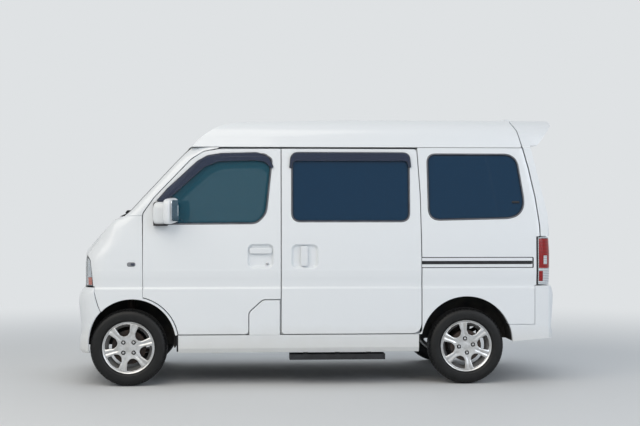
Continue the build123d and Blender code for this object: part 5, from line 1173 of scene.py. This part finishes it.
# %% Rain visors
front_visor_line = curve_outline([
    (1118, 1279, 5), (1046, 1363, 0), (838, 1556, 70), (768, 1595, 80), (677, 1610, 0), (423, 1617, 90),
    (345, 1585, 60), (311, 1513, 6), (330, 1506, 6), (372, 1552, 50), (440, 1560, 0), (690, 1553, 80),
    (790, 1512, 80), (1068, 1262, 6),
])
slide_visor_line = curve_outline([
    (201, 1509, 5), (192, 1618, 76), (-640, 1618, 76), (-649, 1515, 5), (-630, 1512, 5), (-622, 1558, 34),
    (176, 1558, 34), (184, 1506, 5),
])
# The visors' blue-grey is a painted reflection of the sky.
for name, line, body, replaced in (("front_visor", front_visor_line, "door_*", ("door_visor_*",)),
                                   ("slide_visor", slide_visor_line, "body", ("side_visors",))):
    made = panel(name + "_left", line, rays=SIDE_VIEW, thick=3.0, roll=1.2, lift=11.0, spacing=14.0)
    for piece, side in ((made, "left"), (twin(made, name + "_right"), "right")):
        names = tuple(n.replace("*", side) for n in replaced) if name == "front_visor" or side == "left" else ()
        place(piece, body.replace("*", side), "smoked_acrylic", smoked, smoked, replaces=names)
    bead(name + "_edge", line, body, width=4.0, height=4.0, lift=9.5, inset=0.5, finish=rubber_seal)

# %% [markdown]
# A headlamp is a clear polycarbonate cover over a bright bowl, with an amber lamp at its outer end. Cover and bowl
# are panels on the body's form: the cover lies on it, and the bowl sinks into it by a function of the distance from
# the lamp's middle.

# %% Headlamps
lamp_front_edge = [(1557, 694, 0), (1564, 780, 0), (1575, 868, 20), (1606, 900, 0)]
headlamp_line = even(np.concatenate([
    mapped([(434, 901, 0), (434, 694, 0)], FRONT_VIEW),
    mapped(lamp_front_edge, SIDE_VIEW),
]), 8.0)
bowl_middle = mapped([(545, 806, 0), (546, 806, 0)], FRONT_VIEW)[0]


def bowl(ab, base):
    """A dish 34 mm deep and 168 mm across behind the lens, in a bezel that stays near it."""
    r = np.linalg.norm(ab - bowl_middle, axis=1)
    return -34.0 * (1 - (np.minimum(r, 84.0) / 84.0) ** 2) - 6.0 * (1 - ramp(r, 84.0, 90.0))


lens = panel("headlamp_lens_left", headlamp_line, thick=3.0, roll=1.5, spacing=12.0)
back = panel("headlamp_bowl_left", grown(headlamp_line, -3.0), thick=4.0, roll=1.0, spacing=8.0, lift=-14.0,
             relief=bowl)
corner_line = even(np.concatenate([
    mapped([(672, 752, 0), (672, 700, 0)], FRONT_VIEW),
    mapped([(1562, 700, 0), (1566, 752, 0)], SIDE_VIEW),
]), 6.0)
blinker = panel("headlamp_indicator_left", corner_line, thick=6.0, roll=1.5, spacing=10.0, lift=-4.0)
bowl_point = on_form(body_form, wrap_front, bowl_middle[None])[0]
bulb = write_mesh("headlamp_bulb_left", *soft_block(bowl_point - (42, 0, 0), (18, 9, 9), (0.8, 1.0), (14, 24)))
outwards(bulb.data)
for piece, slot, finish in ((lens, "lamp_lens", lens_clear), (back, "lamp_lens", reflector),
                            (blinker, "lamp_lens", amber_lens), (bulb, "lamp_lens", white_lens)):
    other = twin(piece, piece.name.replace("left", "right"))
    place(piece, "body", slot, finish, finish, replaces=("headlamps",) if piece is lens else ())
    place(other, "body", slot, finish, finish)

# %% [markdown]
# A tail lamp is a stack of fluted acrylic lenses in one clear border, upright and narrow at the van's corner. Each
# lens is its own panel, because each is moulded in its own colour, and a thin rubber gasket lies behind them all.

# %% Tail lamps
def tail_zone(z_low, z_high, front_x=-1533.0, inner_y=578.0):
    """An outline on the rear corner from a station on the side to a width on the tail, between two heights."""
    return even(np.concatenate([
        mapped([(front_x, z_low, 0), (front_x, z_high, 0)], SIDE_VIEW, "rear"),
        mapped([(inner_y, z_high, 0), (inner_y, z_low, 0)], REAR_VIEW, "rear"),
    ]), 8.0)


def side_zone(x_front, x_rear, z_low, z_high):
    """A patch of the rear corner between two stations of the side view."""
    return even(mapped([(x_front, z_low, 0), (x_front, z_high, 0), (x_rear, z_high, 0), (x_rear, z_low, 0)],
                       SIDE_VIEW, "rear"), 6.0)


upper_red = tail_zone(810.0, 1018.0, -1547.0, 592.0)
lower_red = side_zone(-1547.0, -1577.0, 718.0, 790.0)
reversing = side_zone(-1582.0, -1611.0, 836.0, 898.0)
tail_parts = [
    ("tail_lens_border", tail_zone(697.0, 1025.0, -1542.0), (upper_red, lower_red), white_lens),
    ("tail_lens_upper", grown(upper_red, -0.6), (reversing,), red_lens),
    ("tail_lens_lower", grown(lower_red, -0.6), (), red_lens),
    ("tail_lens_patch", grown(reversing, -0.6), (), white_lens),
    ("tail_lamp_gasket", side_zone(-1532.0, -1540.5, 695.0, 1027.0), (), rubber_seal),
]
for name, line, holes, finish in tail_parts:
    made = panel(name + "_left", line, holes, rays=wrap_rear, thick=24.0, roll=1.5, spacing=12.0)
    other = twin(made, name + "_right")
    slot = "black_trim" if finish is rubber_seal else "tail_lens"
    place(made, "body", slot, finish, finish, replaces=("tail_lamps",) if name == "tail_lens_border" else ())
    place(other, "body", slot, finish, finish)


# %% [markdown]
# A number plate is a pressed sheet of painted aluminium. It is left blank here, with only its raised rim.

# %% Blank plates
def plate(name, body, x, z, facing):
    """A pressed aluminium plate, 330 by 165 mm, blank: a flat sheet with a 1.2 mm raised border."""
    across, up = np.meshgrid(np.linspace(-1, 1, 67), np.linspace(-1, 1, 35))
    y, h = across * 165.0, up * 82.5
    corner = np.hypot(np.maximum(np.abs(y) - 153, 0), np.maximum(np.abs(h) - 70.5, 0))
    pull = np.where(corner > 12, 12 / np.maximum(corner, 1e-6), 1.0)
    y = np.where(corner > 12, np.sign(y) * (153 + (np.abs(y) - 153) * pull), y)
    h = np.where(corner > 12, np.sign(h) * (70.5 + (np.abs(h) - 70.5) * pull), h)
    rim = np.minimum(165 - np.abs(y), 82.5 - np.abs(h))
    raised = 1.2 * ramp(rim, 4.0, 6.0) * (1 - ramp(rim, 8.0, 10.0))
    front = np.stack([x + facing * raised, y, z + h], -1).reshape(-1, 3)
    back = np.stack([x - facing * 1.5 + 0 * y, y, z + h], -1).reshape(-1, 3)
    index = np.arange(y.size).reshape(y.shape)
    quads = np.stack([index[:-1, :-1], index[:-1, 1:], index[1:, 1:], index[1:, :-1]], -1).reshape(-1, 4)
    border = np.concatenate([index[0], index[1:, -1], index[-1, -2::-1], index[-2:0:-1, 0]])
    ahead = np.roll(border, -1)
    sides = np.stack([border, ahead, ahead + y.size, border + y.size], 1)
    made = write_mesh(name, np.concatenate([front, back]),
                      np.concatenate([quads, quads[:, ::-1] + y.size, sides[:, ::-1]]))
    outwards(made.data)
    return place(made, body, "alloy", plate_white)


# Flatter than the body, and a little yellow.
plate_white = painted("aluminium_plate_painted_white", "#e8e9e6", "#c8c6bf", 0.3, 0.4)
plate("number_plate_front", "body", 1694.5, 425.0, 1.0)
plate("number_plate_rear", "tailgate", -1680.0, 862.0, -1.0)
print("lamps, visors and plates placed")

# %% [markdown]
# ## Seats and the steering wheel
# The front seats are foam under woven polyester: a cushion, a back and a head rest on each side, and a bench
# behind. Each is a crowned block whose sides pull in between the corners, with sewn channels that sink 6 mm. The
# squab is made from a superellipsoid because it is seen only through tinted glass.

# %% Cloth and pads
def woven(name, light, dark, thread_mm):
    """Woven polyester: two sets of threads at right angles, drawn three times too coarse so that they show."""
    made, tree, shader = material(name, Roughness=0.9, Sheen_Weight=0.3, Sheen_Roughness=0.5)
    place_node = node(tree, "ShaderNodeTexCoord")
    warp = node(tree, "ShaderNodeTexWave", {"Scale": 1000.0 / (thread_mm * 2 * math.pi), "bands_direction": "Y"},
                Vector=place_node.outputs["Object"])
    weft = node(tree, "ShaderNodeTexWave", {"Scale": 1000.0 / (thread_mm * 2 * math.pi),
                                            "bands_direction": "DIAGONAL"}, Vector=place_node.outputs["Object"])
    both = node(tree, "ShaderNodeMath", {"operation": "MULTIPLY"}, _0=warp.outputs["Fac"], _1=weft.outputs["Fac"])
    tree.links.new(blend_colour(tree, both.outputs[0], (0.1, dark), (0.7, light)), shader.inputs["Base Color"])
    bump(tree, shader, both.outputs[0], 0.5, 0.0006)
    return made


# Grey yarn over dark yarn, drawn 3 mm apart to show.
seat_weave = woven("polyester_woven_seat", "#6c7076", "#3a3d43", 3.0)


def pad(name, centre, across, along, up, half, channels=(0.55,), cross=()):
    """A cushion about its own axes: a superellipsoid with sides drawn in by 4%, and channels sunk 6 mm."""
    unit, quads = soft_block((0, 0, 0), (1, 1, 1), (0.5, 0.32), (48, 96))
    x, y, z = unit.T
    x, y = x * (1 - 0.04 * (1 - y * y)), y * (1 - 0.04 * (1 - x * x))
    sunk = sum(np.exp(-((np.abs(x) - c) / 0.022) ** 2) for c in channels) * (np.abs(y) < 0.93)
    sunk = np.minimum(sunk + sum(np.exp(-((y - c) / 0.022) ** 2) * (np.abs(x) < 0.9) for c in cross), 1.0)
    z = z * (1 - 0.10 * (x * x + y * y) / 2) - np.sign(z) * (6.0 / half[2]) * sunk * (np.abs(z) > 0.3)
    frame_axes = np.array([across, along, up], float)
    frame_axes /= np.linalg.norm(frame_axes, axis=1, keepdims=True)
    points = np.asarray(centre) + np.stack([x * half[0], y * half[1], z * half[2]], -1) @ frame_axes
    made = write_mesh(name, points, quads)
    outwards(made.data)
    place(made, "body", "seat_cloth", seat_weave)
    return made


lean_front, lean_rear = np.array([-113.0, 0, 510.0]), np.array([-95.0, 0, 440.0])
front_pads = []
for side, y in (("left", 335.0), ("right", -335.0)):
    front_pads += [
        pad(f"seat_cushion_{side}", (595, y, 757), (0, 1, 0), (1, 0, 0.03), (-0.03, 0, 1), (243, 253, 64),
            cross=(-0.3, 0.35)),
        pad(f"seat_back_{side}", (313, y, 1055), (0, 1, 0), lean_front, (510, 0, 113), (240, 252, 46),
            cross=(-0.35, 0.25)),
        pad(f"seat_headrest_{side}", (262, y, 1390), (0, 1, 0), (-0.2, 0, 1), (1, 0, 0.2), (123, 88, 38), ()),
    ]
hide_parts("front_seats")
for side, y in (("left", 299.0), ("right", -299.0)):
    bench = pad(f"bench_cushion_{side}", (-280, y, 795), (0, 1, 0), (1, 0, 0.03), (-0.03, 0, 1), (296, 216, 80))
    pad(f"bench_back_{side}", (-528, y, 1080), (0, 1, 0), lean_rear, (440, 0, 95), (296, 216, 38), cross=(0.3,))
    if side == "left":
        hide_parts("rear_seat")
block_piece("bench_base", "body", "chassis_steel", black_enamel,
            soft_block((-280, 0, 681), (200, 560, 40), (0.15, 0.1)))


# %% [markdown]
# The steering wheel's rim is foam moulded on a steel ring. It keeps the solid's place and tilt, and turns with the
# joint, so it rides on its own body.

# %% Steering wheel
def column_frame(points):
    """Points about the steering wheel's own axes, tilted by 40 degrees and moved to its hub."""
    c, s = 0.766044, 0.642788
    x, y, z = np.asarray(points).T
    return np.stack([900.0 + x * c - z * s, -340.0 + y, 1040.0 + x * s + z * c], 1)


t, u = np.meshgrid(np.linspace(0, 2 * math.pi, 96, endpoint=False), np.linspace(0, 2 * math.pi, 20, endpoint=False))
rim_r = 171.0 + 13.0 * np.cos(u)
rim_points = np.stack([rim_r * np.cos(t), rim_r * np.sin(t), 13.0 + 11.5 * np.sin(u)], -1).reshape(-1, 3)
index = np.arange(t.size).reshape(t.shape)
rim_quads = np.stack([index, np.roll(index, -1, 1), np.roll(np.roll(index, -1, 1), -1, 0), np.roll(index, -1, 0)],
                     -1).reshape(-1, 4)
steering = write_mesh("steering_wheel_rim", *join_shapes(
    (column_frame(rim_points), rim_quads),
    *((column_frame(p), q) for p, q in (soft_block((0, 0, 12), (58, 62, 12), (0.5, 0.7)),
                                        soft_block((-8, 0, 10), (20, 166, 6), (0.5, 0.4)),
                                        soft_block((-84, 0, 10), (82, 18, 6), (0.5, 0.4))))))
outwards(steering.data)
place(steering, "steering_wheel", "interior_plastic", dark_plastic, replaces=("steering_wheel",))
print("pads:", len(front_pads) + 4)

# %% [markdown]
# ## Bumper skin and small trim
# The front bumper is one moulding that runs from arch to arch. It is painted plastic, so its edge is rounder than
# a steel one, and its seam with the wing curves down to the arch. It is cut from the bumper's own form. The rubber
# round the fixed glass hides the glue line, and a rail with a black channel guides the sliding door's roller.

# %% Front bumper
def on_bumper(rows):
    """Rows of the side view as points of the belt chart, found on the bumper's form."""
    return wrap_chart(on_form(bumper_form, SIDE_VIEW, curve_open(rows)), "front")


bumper_side = on_bumper([(1546, 685, 0), (1546.5, 650, 30), (1538.5, 616, 40), (1519.5, 556, 12),
                         *arch_rows("front", 302.0, 44.7, -13.0, 26), (1640, 229.5, 0)])
bumper_line = even(np.concatenate([bumper_side, bumper_side[::-1] * (-1, 1)]), 14.0)
intake_line = curve_outline([(-300, 385, 20), (300, 385, 20), (330, 485, 20), (-330, 485, 20)])
bumper_skin = panel("front_bumper_skin", bumper_line, (intake_line,), form=bumper_form, thick=12.0, roll=4.0,
                    rows=(332, 338, 344, 350, 356, 363, 370, 640, 654, 668, 676))
place(bumper_skin, "body", "bumper_paint", bumper_white, black_plastic, replaces=("front_bumper",))
print("bumper skin:", len(bumper_skin.data.polygons), "faces")

# %% [markdown]
# The windscreen and the tailgate's glass are bonded and have a wider rubber. Along each side window a grey ridge on
# the rubber is a painted highlight, and that line is what the eye reads as the window's edge. The sliding door's rail
# is a black channel between two white lips.

# %% Rubber round the fixed glass, lamp gaskets and the door rail
screen_line = curve_outline([(655, 1190, 60), (614, 1648, 60), (-614, 1648, 60), (-655, 1190, 60)])
gate_line = curve_outline([(575, 1150, 40), (545, 1600, 40), (-545, 1600, 40), (-575, 1150, 40)])
bead("windscreen_rubber", screen_line, "body", FRONT_VIEW, 16.0, 6.0, inset=2.0, mirrored=False)
bead("tailgate_glass_rubber", gate_line, "tailgate", REAR_VIEW, 14.0, 6.0, inset=2.0, mirrored=False)
bead("headlamp_gasket", headlamp_line, "body", wrap_front, 5.0, 4.0, lift=-2.5, inset=-2.0)
# Grey along the ridge: a painted highlight where the rubber's edge catches the light.
rubber_painted_highlight = grained("rubber_epdm_painted_highlight_ridge", "#6d6f76", "#84868d", 0.35, 2.4, 0.05)
for name, line, body in (("front", front_window_line, "door_*"), ("slide", slide_window_line, "body"),
                         ("quarter", quarter_window_line, "body")):
    # Each ridge is a painted highlight along the window's rubber.
    bead(name + "_window_highlight_ridge", line, body, width=5.0, height=4.0, lift=2.6, inset=0.5, finish=rubber_painted_highlight)
rail_edge = curve_outline([(-724, 816, 1), (-1506, 816, 3), (-1506, 885, 3), (-724, 885, 1)])
bead("rail_edge_rubber", rail_edge, "body", width=10.0, height=5.0, lift=-0.4, inset=1.0)
channel = panel("rail_channel_left", grown(rail_line, -0.5), rays=SIDE_VIEW, thick=2.0, roll=0.5, lift=-12.0)
for piece in (channel, twin(channel, "rail_channel_right")):
    place(piece, "body", "black_trim", black_plastic, black_plastic)
# The lens takes the visors' smoked acrylic, whose blue-grey is a painted reflection of the sky.
block_piece("side_marker_lens", "body", "black_trim", smoked,
            soft_block((1280, at_side(1280, 842) + 5, 842), (14, 3, 9), (0.6, 0.7), (10, 28)), mirrored=True)
block_piece("quarter_latch", "body", "black_trim", black_plastic,
            soft_block((-1388, at_side(-1388, 1272) - 7, 1272), (28, 7, 8), (0.5, 0.5), (10, 32)), mirrored=True)
block_piece("tailgate_handle", "tailgate", "bumper_paint", bumper_white,
            soft_block((-1674, 0, 992), (12, 190, 24), (0.4, 0.25), (16, 60)))
print("rubbers, gaskets and the rail placed")

# %% [markdown]
# A door's inner side is a board with vinyl on it, an armrest, a release handle and a crank. They show when the
# door is open, so they ride on the door. Soft blocks are enough for all of them.

# %% Door cards
card_line = curve_outline([
    (300, 640, 30), (300, 1085, 30), (1150, 1085, 60), (1165, 660, 40), *arch_rows("front", 362.0, 112.0, 160.0, 14),
    (930, 400, 20), (520, 400, 30), (520, 530, 50), (400, 640, 50),
])
card = panel("door_card_left", card_line, rays=SIDE_VIEW, thick=4.0, roll=1.5, lift=-49.0, spacing=24.0)
for piece, side in ((card, "left"), (twin(card, "door_card_right"), "right")):
    place(piece, f"door_{side}", "interior_plastic", dark_plastic, dark_plastic)
card_y = at_side(620, 880) - 53
block_piece("door_armrest", "door_*", "interior_plastic", dark_plastic,
            soft_block((620, card_y - 20, 880), (170, 24, 26), (0.5, 0.4), (16, 44)), mirrored=True)
block_piece("door_release", "door_*", "interior_plastic", black_plastic,
            soft_block((900, card_y - 3, 985), (58, 8, 30), (0.4, 0.4), (12, 36)),
            soft_block((905, card_y - 12, 985), (40, 4, 9), (0.6, 0.6), (10, 28)), mirrored=True)
block_piece("window_crank", "door_*", "interior_plastic", black_plastic,
            soft_block((760, card_y - 8, 760), (18, 10, 18), (0.5, 1.0), (12, 28)),
            soft_block((710, card_y - 16, 748), (62, 5, 9), (0.5, 0.6), (10, 32)),
            soft_block((655, card_y - 30, 738), (11, 14, 11), (0.5, 1.0), (12, 24)), mirrored=True)
print("door cards and their handles placed")

# %% [markdown]
# A black rubber sheet hangs behind each front wheel and darkens the gap between tyre and sill, and a vinyl mat lies
# on the load floor. Both are flat blocks with soft edges, since nothing else of them is seen.

# %% Black sheets behind the front wheels and the load mat
block_piece("mud_flap", "body", "black_trim", rubber_seal,
            soft_block((975, 640, 300), (6, 86, 64), (0.2, 0.2), (10, 32)), mirrored=True)
block_piece("load_mat", "body", "interior_plastic", lining,
            soft_block((-1090, 0, 644.2), (430, 440, 2.0), (0.2, 0.1), (8, 60)))
print("mud flaps and mat placed")

# %% [markdown]
# A car studio is a pale floor under wide soft lamps. The floor keeps a soft shadow, and the background is white
# because the world says so to rays that come from the camera or a mirror, not because more light is poured on.

# %% Floor, lamps and world
bpy.context.scene.view_settings.view_transform = "Standard"
floor_mesh = bpy.data.meshes.new("floor")
floor_mesh.from_pydata([(-30, -30, 0), (30, -30, 0), (30, 30, 0), (-30, 30, 0)], [], [(0, 1, 2, 3)])
floor = bpy.data.objects.new("floor", floor_mesh)
bpy.context.scene.collection.objects.link(floor)
BACKDROP = "#dfe2e4"
floor_finish, tree, shader = material("studio_floor_painted", Roughness=0.85, Base_Color=linear("#dcdedf"))
floor_mesh.materials.append(floor_finish)


def seen_directly(tree):
    """1 for rays that come from the camera, off a mirror or through glass, else 0."""
    path = node(tree, "ShaderNodeLightPath")
    first = node(tree, "ShaderNodeMath", {"operation": "MAXIMUM"}, _0=path.outputs["Is Camera Ray"],
                 _1=path.outputs["Is Glossy Ray"])
    return node(tree, "ShaderNodeMath", {"operation": "MAXIMUM"}, _0=first.outputs[0],
                _1=path.outputs["Is Transmission Ray"]).outputs[0]


place_node = node(tree, "ShaderNodeTexCoord")
flat_distance = node(tree, "ShaderNodeVectorMath", {"operation": "LENGTH"}, _0=place_node.outputs["Object"])
far = node(tree, "ShaderNodeMapRange", {"From Min": 2.6, "From Max": 7.5, "interpolation_type": "SMOOTHSTEP"},
           Value=flat_distance.outputs["Value"])
share = node(tree, "ShaderNodeMath", {"operation": "MULTIPLY"}, _0=far.outputs["Result"], _1=seen_directly(tree))
glow = node(tree, "ShaderNodeEmission", {"Color": linear(BACKDROP), "Strength": 1.0})
blend = node(tree, "ShaderNodeMixShader", {}, _0=share.outputs[0], _1=shader.outputs[0], _2=glow.outputs[0])
tree.links.new(blend.outputs[0], tree.nodes["Material Output"].inputs["Surface"])

world = bpy.data.worlds.new("studio")
bpy.context.scene.world = world
world.use_nodes = True
tree = world.node_tree
dim, backdrop = tree.nodes["Background"], node(tree, "ShaderNodeBackground", {"Color": linear(BACKDROP)})
dim.inputs["Color"].default_value, dim.inputs["Strength"].default_value = linear("#c6ced6"), 0.6
blend = node(tree, "ShaderNodeMixShader", {}, _0=seen_directly(tree), _1=dim.outputs[0], _2=backdrop.outputs[0])
tree.links.new(blend.outputs[0], tree.nodes["World Output"].inputs["Surface"])


def lamp(name, at, towards, size, watts, colour="#ffffff"):
    """A soft box: a square area lamp that faces a point."""
    data = bpy.data.lights.new(name, "AREA")
    data.shape, data.size, data.size_y, data.energy = "RECTANGLE", size[0], size[1], watts
    data.color = linear(colour)[:3]
    made = bpy.data.objects.new(name, data)
    bpy.context.scene.collection.objects.link(made)
    made.location = at
    made.rotation_euler = (Vector(towards) - Vector(at)).to_track_quat("-Z", "Y").to_euler()
    return made


lamp("lamp_key", (3.5, 5.5, 6.0), (0.2, 0.4, 0.8), (9.0, 7.0), 360, "#fff6ea")
lamp("lamp_fill", (-5.5, 6.5, 3.5), (-0.4, 0.4, 0.8), (5.0, 4.0), 150, "#eef4ff")
back = lamp("lamp_back", (-1.0, -6.5, 5.0), (0.0, -0.3, 0.9), (9.0, 6.0), 170)
back.visible_glossy = False                 # its mirror image would burn out the roof seen at a low angle
print("floor, world and three lamps")
